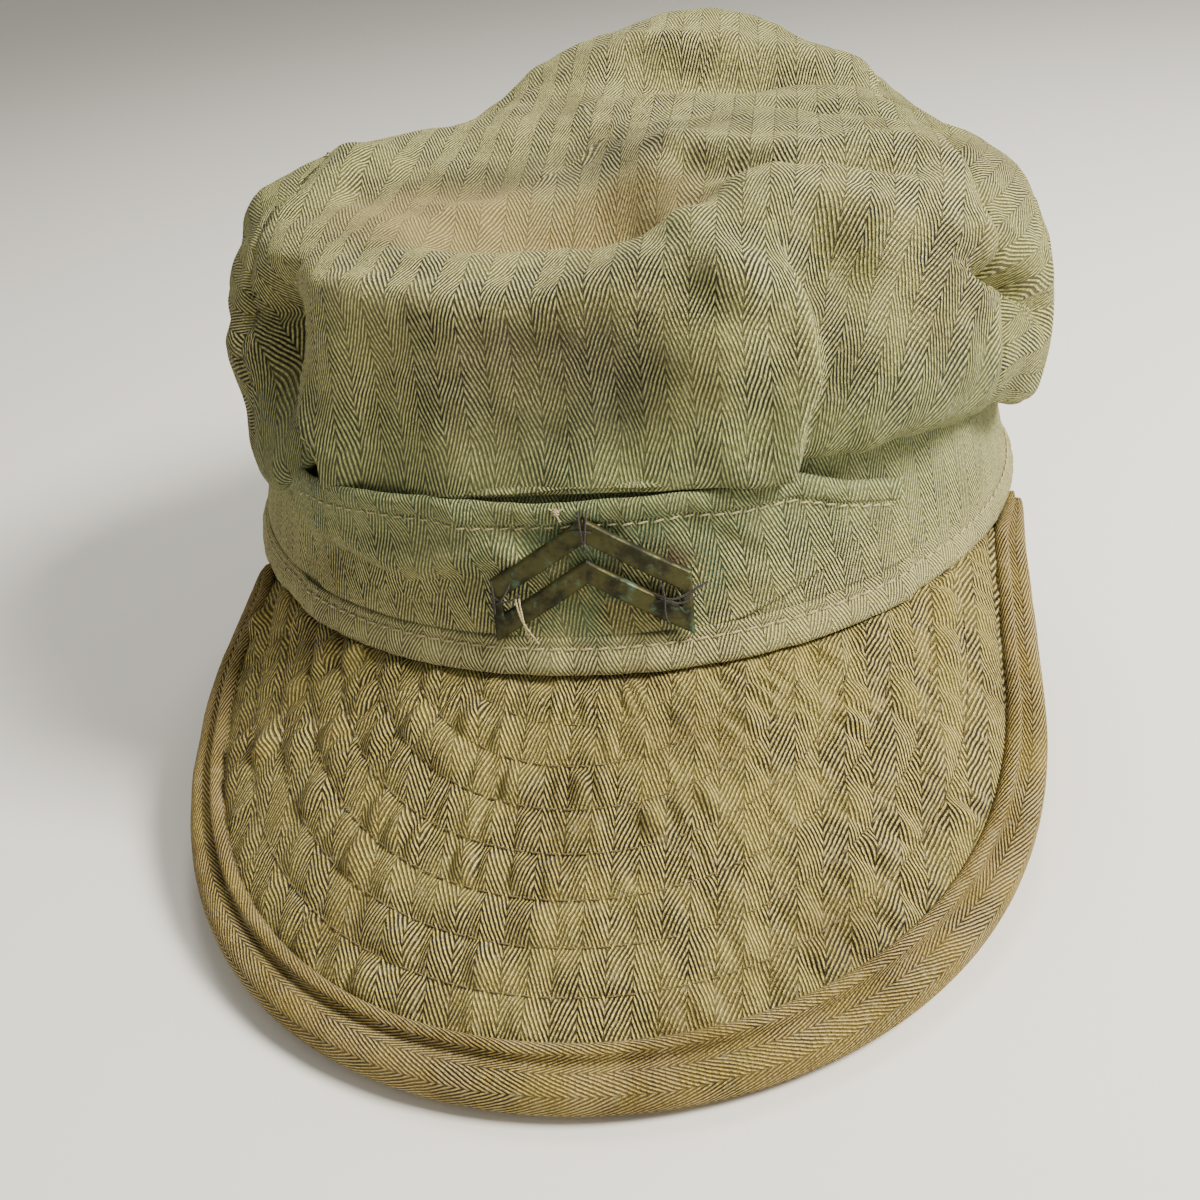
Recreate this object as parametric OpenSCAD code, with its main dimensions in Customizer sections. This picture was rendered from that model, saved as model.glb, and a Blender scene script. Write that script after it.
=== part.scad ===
// Field utility cap: gathered soft crown, band with a flat front pocket, and a long quilted visor.
// Millimetres. +Z is up, the visor points to -Y, and +X is the wearer's left.
// The origin is the centre of the head opening, in the plane of the hem's lower edge.
// An angle "a" round the cap is 0 at the front and +90 at the wearer's left.

/* [Band] */
// Outer radius of the hem, at the head opening
opening_r = 94.5; // [90:0.5:100]
// Height of the band, from the hem's lower edge to the crown seam
band_h = 37; // [34:1:42]
// How far the band leans inwards over its height
band_lean = 6.6; // [4:0.2:8]
// Height of the turned hem
hem_h = 7.5; // [6:0.5:9]
// Thickness of a band cloth layer
band_cloth = 1; // [0.8:0.1:1]
// Height of the sweatband
sweatband_h = 29; // [25:1:30]

/* [Pocket] */
// Height of the pocket mouth at the middle of the front
mouth_z = 35.5; // [32:0.5:36]
// Height of the pocket mouth at the wearer's left end
mouth_end_z = 24; // [20:0.5:34]
// Half width of the pocket, measured straight across
pocket_half = 64; // [55:1:68]
// Height of the turned hem along the pocket mouth
mouth_hem_h = 4; // [3:0.5:5]

/* [Badge] */
// Width of the chevron badge
badge_w = 39; // [30:1:44]
// Height from the ends of a bar to its point
badge_rise = 12.3; // [10:0.1:14]
// Height of each bar, measured straight up
bar_h = 4.5; // [4:0.1:5]
// Height of the open gap between the two bars
bar_gap = 3.9; // [3:0.1:4.5]
// Height of the badge's point above the head opening
badge_top_z = 33.3; // [31:0.1:34]
// How far the badge sits to the wearer's left of the middle
badge_x = 4; // [-4:0.5:6]

/* [Crown] */
// Radius of the crown where it is fullest
crown_r = 96.5; // [94:0.5:100]
// Distance from the middle of the cap to the flat front of the crown
crown_front = 84; // [82:0.5:88]
// Height at which the crown is fullest
bulge_z = 48; // [46:1:52]
// Height of the crown's shoulder at the front
shoulder_front_z = 71; // [68:1:76]
// Height of the crown's shoulder at the sides
shoulder_side_z = 77; // [74:1:82]
// Height of the crown's shoulder at the back
shoulder_back_z = 91; // [84:1:94]
// Height of the middle of the crown
crown_top_z = 85; // [80:1:90]
// How far the crown slumps to the wearer's left
crown_shift = 3; // [0:0.5:5]
// How much higher the wearer's left of the crown stands, for each millimetre across
crown_tilt = 0.05; // [0:0.01:0.06]
// Thickness of the crown cloth
crown_cloth = 1.2; // [0.8:0.1:1.2]

/* [Crown panels] */
// Angle at which a side panel meets the band at its front
side_front_a = 55; // [53:1:58]
// Angle at which a side panel meets the band at its back
side_back_a = 139; // [132:1:142]
// How far up the crown a side panel reaches, as a share of the way to the middle
side_top = 0.61; // [0.5:0.01:0.62]
// Angle of the two front darts from the middle of the front
front_dart_a = 31; // [27:1:34]
// Angle of the two back darts from the middle of the back
back_dart_a = 26; // [22:1:30]

/* [Visor] */
// Half the width of the visor at its widest
visor_half = 92.5; // [91:0.5:94]
// Distance from the middle of the cap to the visor's widest line
visor_wide_y = 72; // [68:1:76]
// Length of the visor forward of its widest line
visor_reach = 91.8; // [80:0.2:98]
// Slope of the visor at the front, in degrees below level
visor_droop = 29.5; // [24:0.5:34]
// How much more steeply the visor's sides fall than its front
visor_wrap = 1.9; // [1.2:0.1:2.2]
// Thickness of a visor cover
cover_t = 0.8; // [0.6:0.1:0.9]
// Thickness of one ply of the stiffening
ply_t = 0.8; // [0.6:0.1:0.9]
// Space between neighbouring visor layers
ply_gap = 0.15; // [0.1:0.01:0.2]
// Width of the bias binding
binding_w = 9.5; // [8:0.5:10]
// Spacing of the quilting rows, measured straight forwards
row_pitch = 7.5; // [6.5:0.1:8]
// Number of quilting rows
row_count = 7; // [5:1:7]

/* [Hidden] */
$fn = 96;

hem_t = 1.2;                            // thickness of the hem's outer fold
skin_gap = 0.25;                        // space left between cloth layers that lie on each other
seam_gap = 0.3;                         // space between panels that are sewn edge to edge
lining_gap = 1.5;                       // space between the crown and the allowances inside it
band_r0 = opening_r - hem_t - skin_gap; // outer radius of the band shell at the opening
pocket_t = 0.8;                         // thickness of the pocket cloth
mouth_t = 1.9;                          // thickness of the turned hem at the pocket mouth
badge_t = 1.1;                          // thickness of the badge plate
thread_r = 0.3;                         // radius of the sewing thread
fold_h = 1.4;                           // height of the hem's lower fold
crown_z0 = band_h + seam_gap;           // height at which the crown starts
crown_r0 = band_r0 - band_lean;         // outer radius at which the crown starts
side_mid_a = (side_front_a + side_back_a) / 2;
side_half_a = (side_back_a - side_front_a) / 2;
visor_in_r = opening_r + 1;             // radius of the visor's inner edge at the front
visor_in_spread = 4.5;                  // how much that radius grows towards the sides
visor_end_y = 50;                       // where the visor's sides stop, measured forwards
visor_layers = [0, cover_t + ply_gap, cover_t + ply_t + 2 * ply_gap, cover_t + 2 * ply_t + 3 * ply_gap];
visor_t = 2 * cover_t + 2 * ply_t + 3 * ply_gap;
cover_inset = 1.5;                      // how far the covers stop short of the binding's edge
fine = 0.01;                            // step used to find slopes

// ---------------------------------------------------------------- shared helpers

// Outer radius of the band shell at height z
function band_r(z) = band_r0 - band_lean * z / band_h;

// Closed ring or arc that follows the leaning band between two heights and two depths
module band_ring(z0, z1, inner, outer, from_a = 0, sweep_a = 360) {
    rotate([0, 0, from_a - 90])
        rotate_extrude(angle = sweep_a)
            polygon([[band_r(z0) + inner, z0], [band_r(z0) + outer, z0],
                [band_r(z1) + outer, z1], [band_r(z1) + inner, z1]]);
}

// Thread lying round the band at one height
module band_thread(z, depth, from_a = 0, sweep_a = 360) {
    rotate([0, 0, from_a - 90])
        rotate_extrude(angle = sweep_a)
            translate([band_r(z) + depth, z])
                circle(r = thread_r, $fn = 16);
}

// Point at angle a, radius r and height z
function around(a, r, z) = [r * sin(a), -r * cos(a), z];

// Closed skin between an outer and an inner grid of points, each a list of equal rows
module grid_skin(outer, inner) {
    rows = len(outer);
    cols = len(outer[0]);
    half = rows * cols;
    points = concat([for (row = outer) for (p = row) p], [for (row = inner) for (p = row) p]);
    top = [for (i = [0:rows - 2]) for (j = [0:cols - 2])
        let(a = i * cols + j, b = a + 1, c = a + cols + 1, d = a + cols)
        each [[a, b, c], [a, c, d]]];
    bottom = [for (f = top) [f[0] + half, f[2] + half, f[1] + half]];
    rim = concat([for (j = [0:cols - 1]) j],
        [for (i = [1:rows - 1]) i * cols + cols - 1],
        [for (j = [cols - 2:-1:0]) (rows - 1) * cols + j],
        [for (i = [rows - 2:-1:1]) i * cols]);
    edge = [for (k = [0:len(rim) - 1])
        let(a = rim[k], b = rim[(k + 1) % len(rim)])
        each [[a, a + half, b + half], [a, b + half, b]]];
    polyhedron(points, concat(top, bottom, edge), convexity = 8);
}

// Solid swept through a list of equal closed rings of points
module ring_sweep(rings) {
    n = len(rings);
    m = len(rings[0]);
    points = [for (r = rings) for (p = r) p];
    sides = [for (i = [0:n - 2]) for (j = [0:m - 1])
        let(a = i * m + j, b = i * m + (j + 1) % m)
        each [[a, b, b + m], [a, b + m, a + m]]];
    start_cap = [for (j = [1:m - 2]) [0, j + 1, j]];
    end_cap = [for (j = [1:m - 2]) [(n - 1) * m, (n - 1) * m + j, (n - 1) * m + j + 1]];
    polyhedron(points, concat(sides, start_cap, end_cap), convexity = 8);
}

function unit(v) = v / norm(v);

// ---------------------------------------------------------------- crown surface

// Smooth curve through four points of which the middle two are its ends
function through(a, b, c, d, u) =
    0.5 * (2 * b + (c - a) * u + (2 * a - 5 * b + 4 * c - d) * u * u
        + (3 * b - a - 3 * c + d) * u * u * u);

// A value that changes from front to side to back
function by_side(a, front, side, back) =
    side + (front - side) * pow(max(0, cos(a)), 2) + (back - side) * pow(max(0, -cos(a)), 2);

// Radius of the fullest line of the crown, with its flattened front
function bulge_r(a) =
    let(k = 12)
    pow(pow(1 / crown_r, k) + pow(max(0, cos(a)) / crown_front, k), -1 / k);

// Five points of the crown's profile at angle a, as radius and height
function crown_points(a) = [
    [crown_r0, crown_z0],
    [bulge_r(a), bulge_z],
    [by_side(a, 79, 84, 74), by_side(a, shoulder_front_z, shoulder_side_z, shoulder_back_z)],
    [by_side(a, 45, 48, 43), by_side(a, 81, 84, 93)],
    [0, crown_top_z]];

// Radius and height on the crown's profile, t from 0 at the band to 1 at the middle
function profile(a, t) =
    let(p = crown_points(a), i = min(3, floor(t * 4)), u = t * 4 - i,
        before = i == 0 ? [2 * p[0].x - p[1].x, p[0].y - 4] : p[i - 1],
        after = i == 3 ? [-p[3].x, p[3].y] : p[i + 2])
    through(before, p[i], p[i + 1], after, u);

// Point of the crown at angle a and share t, set in from the outside by depth
function crown_at(a, t, depth = 0) =
    let(here = profile(a, t), ahead = profile(a, min(1, t + fine)), behind = profile(a, max(0, t - fine)),
        d = unit(ahead - behind), r = here.x - depth * d.y, z = here.y + depth * d.x,
        slump = min(1, 4 * t))
    around(a, max(0, r), z) + [crown_shift * slump, 0, crown_tilt * r * sin(a) * slump];

// Share of the profile at which a side panel ends, inset by a few degrees and a little height
function side_t(a, inset_a = 0, inset_t = 0) =
    let(off = abs(abs(a) - side_mid_a) / (side_half_a - inset_a))
    off >= 1 ? 0 : (side_top - inset_t) * pow(1 - pow(off, 3), 1 / 3);

side_steps = 18;
// Angles across a side panel, closer together at its ends
function side_angles(inset_a) =
    [for (k = [0:side_steps]) side_mid_a - (side_half_a - inset_a) * cos(180 * k / side_steps)];

// Angles round the whole crown, from the back of the cap round the wearer's right
crown_angles = concat(
    [for (a = [-180:8.6:-side_back_a - 4]) a],
    [for (k = [side_steps:-1:0]) -side_angles(0)[k]],
    [for (a = [-side_front_a + 8:7.1:side_front_a - 4]) a],
    side_angles(0),
    [for (a = [180 - 8.6 * floor((180 - side_back_a - 4) / 8.6):8.6:180]) a]);
crown_rows = 13;

function centre_grid(depth) = [for (a = crown_angles)
    let(low = side_t(a))
    [for (k = [0:crown_rows]) crown_at(a, low + (0.985 - low) * k / crown_rows, depth)]];

// Skin that closes on itself round the cap, with a small capped middle
module closed_crown_skin(outer, inner) {
    n = len(outer) - 1;
    m = len(outer[0]);
    half = n * m;
    points = concat([for (i = [0:n - 1]) for (p = outer[i]) p],
        [for (i = [0:n - 1]) for (p = inner[i]) p],
        [crown_at(0, 1, 0), crown_at(0, 1, crown_cloth)]);
    top = [for (i = [0:n - 1]) for (j = [0:m - 2])
        let(a = i * m + j, d = ((i + 1) % n) * m + j)
        each [[a, d + 1, d], [a, a + 1, d + 1]]];
    cap = [for (i = [0:n - 1]) [i * m + m - 1, 2 * half, ((i + 1) % n) * m + m - 1]];
    lower = [for (f = top) [f[0] + half, f[2] + half, f[1] + half]];
    lower_cap = [for (f = cap) [f[0] + half, f[2] + half, 2 * half + 1]];
    rim = [for (i = [0:n - 1])
        let(a = i * m, d = ((i + 1) % n) * m)
        each [[a, d, d + half], [a, d + half, a + half]]];
    polyhedron(points, concat(top, cap, lower, lower_cap, rim), convexity = 8);
}

module crown_centre_panel() {
    color("darkolivegreen")
        closed_crown_skin(centre_grid(0), centre_grid(crown_cloth));
}

// One side panel; side is 1 for the wearer's left and -1 for the wearer's right
module side_panel(side) {
    rows = 6;
    angles = side_angles(0.9);
    function panel_grid(depth) = [for (a = angles)
        let(high = max(0.05, side_t(a, 0.9, 0.012)))
        [for (k = [0:rows]) crown_at(side * a, high * k / rows, depth)]];
    if (side > 0)
        grid_skin(panel_grid(0), panel_grid(crown_cloth));
    else
        grid_skin(panel_grid(crown_cloth), panel_grid(0));
}

module crown_left_panel() {
    color("olivedrab")
        side_panel(1);
}

module crown_right_panel() {
    color("olivedrab")
        side_panel(-1);
}

// Flat strip inside the crown along a path of angle and share pairs, with a width for each
module inner_strip(path, widths, thickness) {
    depth = crown_cloth + skin_gap;
    n = len(path);
    rings = [for (k = [0:n - 1])
        let(p = crown_at(path[k][0], path[k][1], depth),
            q = crown_at(path[k][0], path[k][1], depth + 1),
            next = crown_at(path[min(n - 1, k + 1)][0], path[min(n - 1, k + 1)][1], depth),
            last = crown_at(path[max(0, k - 1)][0], path[max(0, k - 1)][1], depth),
            inward = unit(q - p), along = unit(next - last), across = unit(cross(inward, along)),
            w = widths[k] / 2)
        [p + across * w + inward * lining_gap, p + across * w + inward * (lining_gap + thickness),
            p - across * w + inward * (lining_gap + thickness), p - across * w + inward * lining_gap]];
    ring_sweep(rings);
}

// Felled seam allowances inside, along the edge of a side panel
module felled_seam(side) {
    path = [for (k = [2:side_steps - 2])
        let(a = side_angles(0)[k])
        [side * a, side_t(a) - 0.01]];
    inner_strip(path, [for (p = path) 5], 0.9);
}

module crown_left_seam() {
    color("tan")
        felled_seam(1);
}

module crown_right_seam() {
    color("tan")
        felled_seam(-1);
}

// Folded allowance inside a dart, narrowing to its tip
module dart(a) {
    steps = 6;
    inner_strip([for (k = [0:steps]) [a, 0.03 + 0.42 * k / steps]],
        [for (k = [0:steps]) 7 - 6 * k / steps], 0.9);
}

module front_dart_left() {
    color("tan")
        dart(front_dart_a);
}

module front_dart_right() {
    color("tan")
        dart(-front_dart_a);
}

module back_dart_left() {
    color("tan")
        dart(180 - back_dart_a);
}

module back_dart_right() {
    color("tan")
        dart(180 + back_dart_a);
}

// ---------------------------------------------------------------- band

module crown_seam_tape() {
    color("khaki")
        band_ring(sweatband_h + 2.5, band_h - 0.5, -2 * band_cloth - skin_gap, -band_cloth - skin_gap);
}

module band_shell() {
    color("olive")
        band_ring(fold_h + seam_gap, band_h, -band_cloth, 0);
}

module band_back_seam() {
    half_a = 4;
    color("olive")
        band_ring(hem_h + 0.6, band_h - 0.4, skin_gap, skin_gap + 0.9, 180 - half_a, 2 * half_a);
}

module band_hem() {
    inner = -2 * band_cloth - skin_gap;
    color("darkkhaki")
        rotate_extrude()
            polygon([[band_r(0) + inner + 0.5, 0], [band_r(0) + hem_t + skin_gap - 0.5, 0],
                [band_r(0) + hem_t + skin_gap, 0.6], [band_r(hem_h) + hem_t + skin_gap, hem_h],
                [band_r(hem_h) + skin_gap, hem_h], [band_r(fold_h) + skin_gap, fold_h],
                [band_r(fold_h) + inner, fold_h], [band_r(0) + inner, 0.6]]);
}

module band_hem_stitching() {
    color("khaki")
        band_thread(hem_h - 1.2, hem_t + skin_gap + thread_r + 0.05);
}

module sweatband() {
    color("tan")
        band_ring(fold_h + seam_gap, fold_h + seam_gap + sweatband_h, -2 * band_cloth - skin_gap,
            -band_cloth - skin_gap);
}

module sweatband_stitching() {
    color("khaki")
        band_thread(fold_h + 3, -2 * band_cloth - skin_gap - thread_r - 0.05);
}

// ---------------------------------------------------------------- pocket

// Upper edge of the pocket seen from the front, lowered by drop, from the wearer's left to the right
function mouth_line(drop) = [[pocket_half, mouth_end_z - drop], [43, mouth_z - 2 - drop],
    [0, mouth_z - drop], [6 - pocket_half, mouth_z + 0.7 - drop], [-pocket_half, mouth_z - 2 - drop]];

// Lower edge of the pocket with its two round corners, from the wearer's right to the left
function foot_line(low_z, corner) = concat(
    [for (k = [0:6]) let(a = 15 * k) [corner - pocket_half - corner * cos(a), low_z + corner - corner * sin(a)]],
    [for (k = [0:6]) let(a = 15 * k) [pocket_half - corner + corner * sin(a), low_z + corner - corner * cos(a)]]);

// Slice of the space in front of the cap whose front view is the given outline
module front_slice() {
    rotate([90, 0, 0])
        linear_extrude(height = 2 * opening_r)
            children();
}

module pocket_panel() {
    color("darkolivegreen")
        intersection() {
            band_ring(hem_h, band_h, skin_gap, skin_gap + pocket_t, -60, 120);
            front_slice()
                polygon(concat(mouth_line(mouth_hem_h + seam_gap), foot_line(hem_h + 0.6, 10)));
        }
}

module pocket_mouth_hem() {
    color("olivedrab")
        intersection() {
            band_ring(hem_h, band_h, skin_gap, skin_gap + mouth_t, -60, 120);
            front_slice()
                polygon(concat(mouth_line(0), [for (k = [4:-1:0]) mouth_line(mouth_hem_h)[k]]));
        }
}

// Thread along the foot of the mouth hem, from the wearer's right to the middle
module pocket_mouth_stitching() {
    color("khaki")
        band_thread(mouth_z - mouth_hem_h - thread_r - 0.4, skin_gap + pocket_t + thread_r + 0.1, -38, 38);
}

module pocket_tack() {
    tack_z = mouth_z - 1.5;
    color("cornsilk")
        translate([0, -band_r(tack_z) - skin_gap - mouth_t - 1.4, tack_z])
            sphere(r = 1.2, $fn = 16);
}

// Knot of loose thread at the tip of a front dart
module dart_knot(a) {
    color("cornsilk")
        translate(crown_at(a, 0.46, -1.3))
            sphere(r = 1, $fn = 16);
}

module dart_knot_left() {
    dart_knot(front_dart_a);
}

module dart_knot_right() {
    dart_knot(-front_dart_a);
}

// ---------------------------------------------------------------- badge

// Chevron with its upper point at height top, seen from the front
module chevron_outline(half, top, tall) {
    ends = top - half * badge_rise * 2 / badge_w;
    polygon([[0, top], [half, ends], [half, ends - tall], [0, top - tall], [-half, ends - tall], [-half, ends]]);
}

badge_in = skin_gap + mouth_t + 0.2;    // depth of the badge's back face over the band
badge_out = badge_in + badge_t;

// Thread stitch over the badge, standing in front of it at a height and a distance across
module badge_stitch(x, z, tall, wide) {
    intersection() {
        band_ring(hem_h + 0.5, mouth_z, badge_out + 0.1, badge_out + 0.8, -40, 80);
        front_slice()
            translate([badge_x + x - wide / 2, z - tall / 2])
                square([wide, tall]);
    }
}

module chevron_badge() {
    color("darkgoldenrod")
        intersection() {
            band_ring(hem_h + 0.3, mouth_z, badge_in, badge_out, -40, 80);
            difference() {
                front_slice()
                    translate([badge_x, 0])
                        chevron_outline(badge_w / 2, badge_top_z, 2 * bar_h + bar_gap);
                front_slice()
                    translate([badge_x, 0])
                        chevron_outline(badge_w / 2 - 2.4, badge_top_z - bar_h, bar_gap);
            }
        }
}

module badge_thread_point() {
    color("black")
        badge_stitch(0, badge_top_z - 5, 4, 1.2);
}

module badge_thread_left() {
    color("black")
        badge_stitch(badge_w / 2 - 3, badge_top_z - badge_rise - 6, 5, 1.2);
}

module badge_thread_right() {
    color("black")
        badge_stitch(1 - badge_w / 2, badge_top_z - badge_rise - 5, 5, 1.2);
}

module badge_repair_thread() {
    color("cornsilk")
        badge_stitch(4 - badge_w / 2, badge_top_z - badge_rise - 7, 4, 1);
}

// ---------------------------------------------------------------- visor

// Height of the visor's upper face at a place in plan
function visor_z(x, y) =
    let(rho = norm([x, y]))
    -tan(visor_droop) * (rho - opening_r) * (1 + visor_wrap * (1 + y / rho));

// Point on the visor, set off from its upper face by lift
function visor_at(x, y, lift = 0) =
    let(sx = (visor_z(x + fine, y) - visor_z(x - fine, y)) / (2 * fine),
        sy = (visor_z(x, y + fine) - visor_z(x, y - fine)) / (2 * fine))
    [x, y, visor_z(x, y)] + lift * unit([-sx, -sy, 1]);

// Place in plan on the visor's outline, inset by d; s from -1 to 1 crosses from right to left
function outline_at(s, d) =
    let(bend = 0.88, a = min(1, abs(s) / bend) * 90, run = max(0, abs(s) - bend) / (1 - bend))
    [sign(s) * (visor_half - d) * sin(a),
        -visor_wide_y - (visor_reach - d) * cos(a) + run * (visor_wide_y - visor_end_y)];

visor_steps = 32;
visor_rows = 4;
visor_in_a = 57.5;                      // angle at which the visor's inner edge stops
function visor_inner(s) =
    let(a = s * visor_in_a, r = visor_in_r + visor_in_spread * (1 - cos(a)))
    [r * sin(a), -r * cos(a)];

function visor_grid(lift) = [for (i = [0:visor_steps])
    let(s = 2 * i / visor_steps - 1, a = visor_inner(s), b = outline_at(s, cover_inset))
    [for (k = [0:visor_rows])
        let(p = a + (b - a) * k / visor_rows)
        visor_at(p.x, p.y, lift)]];

module visor_layer(top, thickness) {
    grid_skin(visor_grid(-top - thickness), visor_grid(-top));
}

module visor_upper_cover() {
    color("darkkhaki")
        visor_layer(visor_layers[0], cover_t);
}

module visor_upper_ply() {
    color("wheat")
        visor_layer(visor_layers[1], ply_t);
}

module visor_lower_ply() {
    color("wheat")
        visor_layer(visor_layers[2], ply_t);
}

module visor_under_cover() {
    color("darkkhaki")
        visor_layer(visor_layers[3], cover_t);
}

// Section of the binding: distance in from the edge, then height over the visor's upper face
binding_section = [[binding_w, 0.3], [binding_w, 1.2], [6, 1.7], [2.5, 1.7], [0, 1], [-1.2, -visor_t / 2],
    [0, -visor_t - 1], [2.5, -visor_t - 1.7], [6, -visor_t - 1.7], [binding_w, -visor_t - 1.2],
    [binding_w, -visor_t - 0.3], [1.1, -visor_t - 0.3], [1.1, 0.3]];

module visor_binding() {
    rings = [for (i = [0:visor_steps])
        let(s = 2 * i / visor_steps - 1, e = outline_at(s, 0), f = outline_at(s, 1),
            edge = visor_at(e.x, e.y), in = unit(visor_at(f.x, f.y) - edge),
            up = unit(visor_at(e.x, e.y, 1) - edge))
        [for (q = binding_section) edge + in * q.x + up * q.y]];
    color("tan")
        ring_sweep(rings);
}

// Half of a row's span that stays clear of the band
function row_end(d, low = 0, high = 1, n = 14) =
    n == 0 ? low
    : let(mid = (low + high) / 2, p = outline_at(mid, d))
        norm(p) > visor_in_r + visor_in_spread * (1 + p.y / norm(p)) + 2 ? row_end(d, mid, high, n - 1)
        : row_end(d, low, mid, n - 1);

// Thread along one row, at a height over the upper face
module row_thread(d, lift) {
    steps = 18;
    stop = row_end(d) * 0.99;
    rings = [for (i = [0:steps])
        let(s = stop * (2 * i / steps - 1), p = outline_at(s, d), q = outline_at(s, d + 1),
            mid = visor_at(p.x, p.y, lift), in = unit(visor_at(q.x, q.y, lift) - mid),
            up = unit(visor_at(p.x, p.y, lift + 1) - mid))
        [mid + in * thread_r, mid + up * thread_r, mid - in * thread_r, mid - up * thread_r]];
    ring_sweep(rings);
}

module visor_quilting() {
    color("darkolivegreen")
        for (k = [1:row_count], lift = [0.9, -visor_t - 0.9])
            row_thread(binding_w - 1.4 + k * row_pitch, lift);
}

module visor_binding_stitching() {
    color("darkolivegreen")
        for (lift = [2.5, -visor_t - 2.5])
            row_thread(binding_w - 3, lift);
}

crown_centre_panel();
crown_left_panel();
crown_right_panel();
crown_left_seam();
crown_right_seam();
front_dart_left();
front_dart_right();
back_dart_left();
back_dart_right();
crown_seam_tape();
band_shell();
band_back_seam();
band_hem();
band_hem_stitching();
sweatband();
sweatband_stitching();
pocket_panel();
pocket_mouth_hem();
pocket_mouth_stitching();
pocket_tack();
dart_knot_left();
dart_knot_right();
chevron_badge();
badge_thread_point();
badge_thread_left();
badge_thread_right();
badge_repair_thread();
visor_upper_cover();
visor_upper_ply();
visor_lower_ply();
visor_under_cover();
visor_binding();
visor_quilting();
visor_binding_stitching();
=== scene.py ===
import math

import bmesh
import bpy
import numpy as np
from mathutils import Matrix, Vector, noise


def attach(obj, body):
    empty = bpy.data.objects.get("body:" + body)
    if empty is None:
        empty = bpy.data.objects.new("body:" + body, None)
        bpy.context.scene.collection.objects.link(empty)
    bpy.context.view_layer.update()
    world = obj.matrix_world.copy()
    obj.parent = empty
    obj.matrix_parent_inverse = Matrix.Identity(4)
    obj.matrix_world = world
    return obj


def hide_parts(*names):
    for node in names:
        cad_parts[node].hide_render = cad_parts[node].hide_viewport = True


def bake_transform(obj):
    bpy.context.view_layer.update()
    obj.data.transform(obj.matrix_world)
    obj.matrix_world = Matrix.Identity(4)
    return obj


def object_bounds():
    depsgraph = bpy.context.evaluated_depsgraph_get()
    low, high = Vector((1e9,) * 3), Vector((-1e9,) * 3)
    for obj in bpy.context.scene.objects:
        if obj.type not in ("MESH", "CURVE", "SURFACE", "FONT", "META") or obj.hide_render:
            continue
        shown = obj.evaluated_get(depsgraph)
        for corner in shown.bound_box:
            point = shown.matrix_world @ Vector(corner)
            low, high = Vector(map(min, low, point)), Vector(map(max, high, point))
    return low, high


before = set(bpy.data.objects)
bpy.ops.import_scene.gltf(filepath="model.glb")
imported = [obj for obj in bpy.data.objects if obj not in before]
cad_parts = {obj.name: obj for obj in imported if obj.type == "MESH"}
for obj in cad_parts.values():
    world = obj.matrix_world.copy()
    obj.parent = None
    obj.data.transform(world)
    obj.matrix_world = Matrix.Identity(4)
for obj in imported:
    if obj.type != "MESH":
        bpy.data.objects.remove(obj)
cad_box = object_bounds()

# Shapes are worked out in millimetres and set down in metres.
# +Z is up, the visor points to -Y, and +X is the wearer's left.
# An angle round the cap is 0 at the front and +90 at the wearer's left, in degrees.
MM = 0.001

# ---------------------------------------------------------------- the cap's measures

OPENING_R = 94.5
BAND_H, BAND_LEAN, BAND_R0 = 37, 6.6, 93.05
CROWN_CLOTH = 1.1
SIDE_MID, SIDE_HALF, SIDE_TOP = 97, 42, 0.61
FRONT_DART, BACK_DART = 31, 26
VISOR_HALF, VISOR_WIDE_Y, VISOR_REACH = 92.5, 72, 91.8
VISOR_END_Y, VISOR_IN_ANGLE = {1: 25, -1: 48}, {1: 74, -1: 61}
VISOR_DROOP, VISOR_T, COVER_IN_R = 29.5, 3.65, 92.6
BINDING_W, ROW_PITCH, ROW_COUNT = 9.5, 7.5, 7

# Width of a column of the twill, and pitch of its ribs, in metres
COLUMN, RIB = 0.0047, 0.0019

# Camera: place in metres, its own right and up, and focal length on a 36 mm frame
CAMERA_AT = (0.0473, -0.3016, 0.1444)
CAMERA_RIGHT, CAMERA_UP = (0.9857, 0.1305, -0.1062), (0.0223, 0.5240, 0.8514)
CAMERA_LENS = 38.96


def sin(a):
    return np.sin(np.radians(a))


def cos(a):
    return np.cos(np.radians(a))


def smooth(low, high, value):
    """0 below low, 1 above high, and an even S between them."""
    x = np.clip((value - low) / (high - low), 0, 1)
    return x * x * (3 - 2 * x)


def bell(value, width):
    return np.exp(-((value / width) ** 2))


def ripple(x, y, z=0.0):
    """Smooth noise from -1 to 1, the same on every run."""
    x, y, z = np.broadcast_arrays(x, y, z)
    flat = [noise.noise(Vector(p)) for p in zip(x.ravel(), y.ravel(), z.ravel())]
    return np.array(flat).reshape(x.shape)


def along_path(p, path):
    """Distance of the points p from a bent line, and how far along it they lie, from 0 to 1."""
    path = [np.array(q, float) for q in path]
    run = np.cumsum([0] + [np.linalg.norm(b - a) for a, b in zip(path, path[1:])])
    best = np.full(p.shape[:-1], 1e9)
    place = np.zeros(p.shape[:-1])
    for k, (a, b) in enumerate(zip(path, path[1:])):
        share = np.clip(((p - a) @ (b - a)) / ((b - a) @ (b - a)), 0, 1)
        d = np.linalg.norm(p - a - share[..., None] * (b - a), axis=-1)
        place = np.where(d < best, (run[k] + share * (run[k + 1] - run[k])) / run[-1], place)
        best = np.minimum(best, d)
    return best, place


# ---------------------------------------------------------------- cloth helpers


def place_piece(obj, body, finish, nodes=(), blend=False):
    """Gives a finished piece its finish, attaches it to its body unless blend is set (then it only bakes its
    place), and hides the CAD nodes that it stands for.
    """
    obj.data.materials.clear()
    obj.data.materials.append(finish)
    if blend:
        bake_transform(obj)
    else:
        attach(obj, body)
    if nodes:
        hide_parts(*nodes)
    return obj


def link(name, data):
    """Sets a new object down in the scene."""
    obj = bpy.data.objects.new(name, data)
    bpy.context.scene.collection.objects.link(obj)
    return obj


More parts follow.
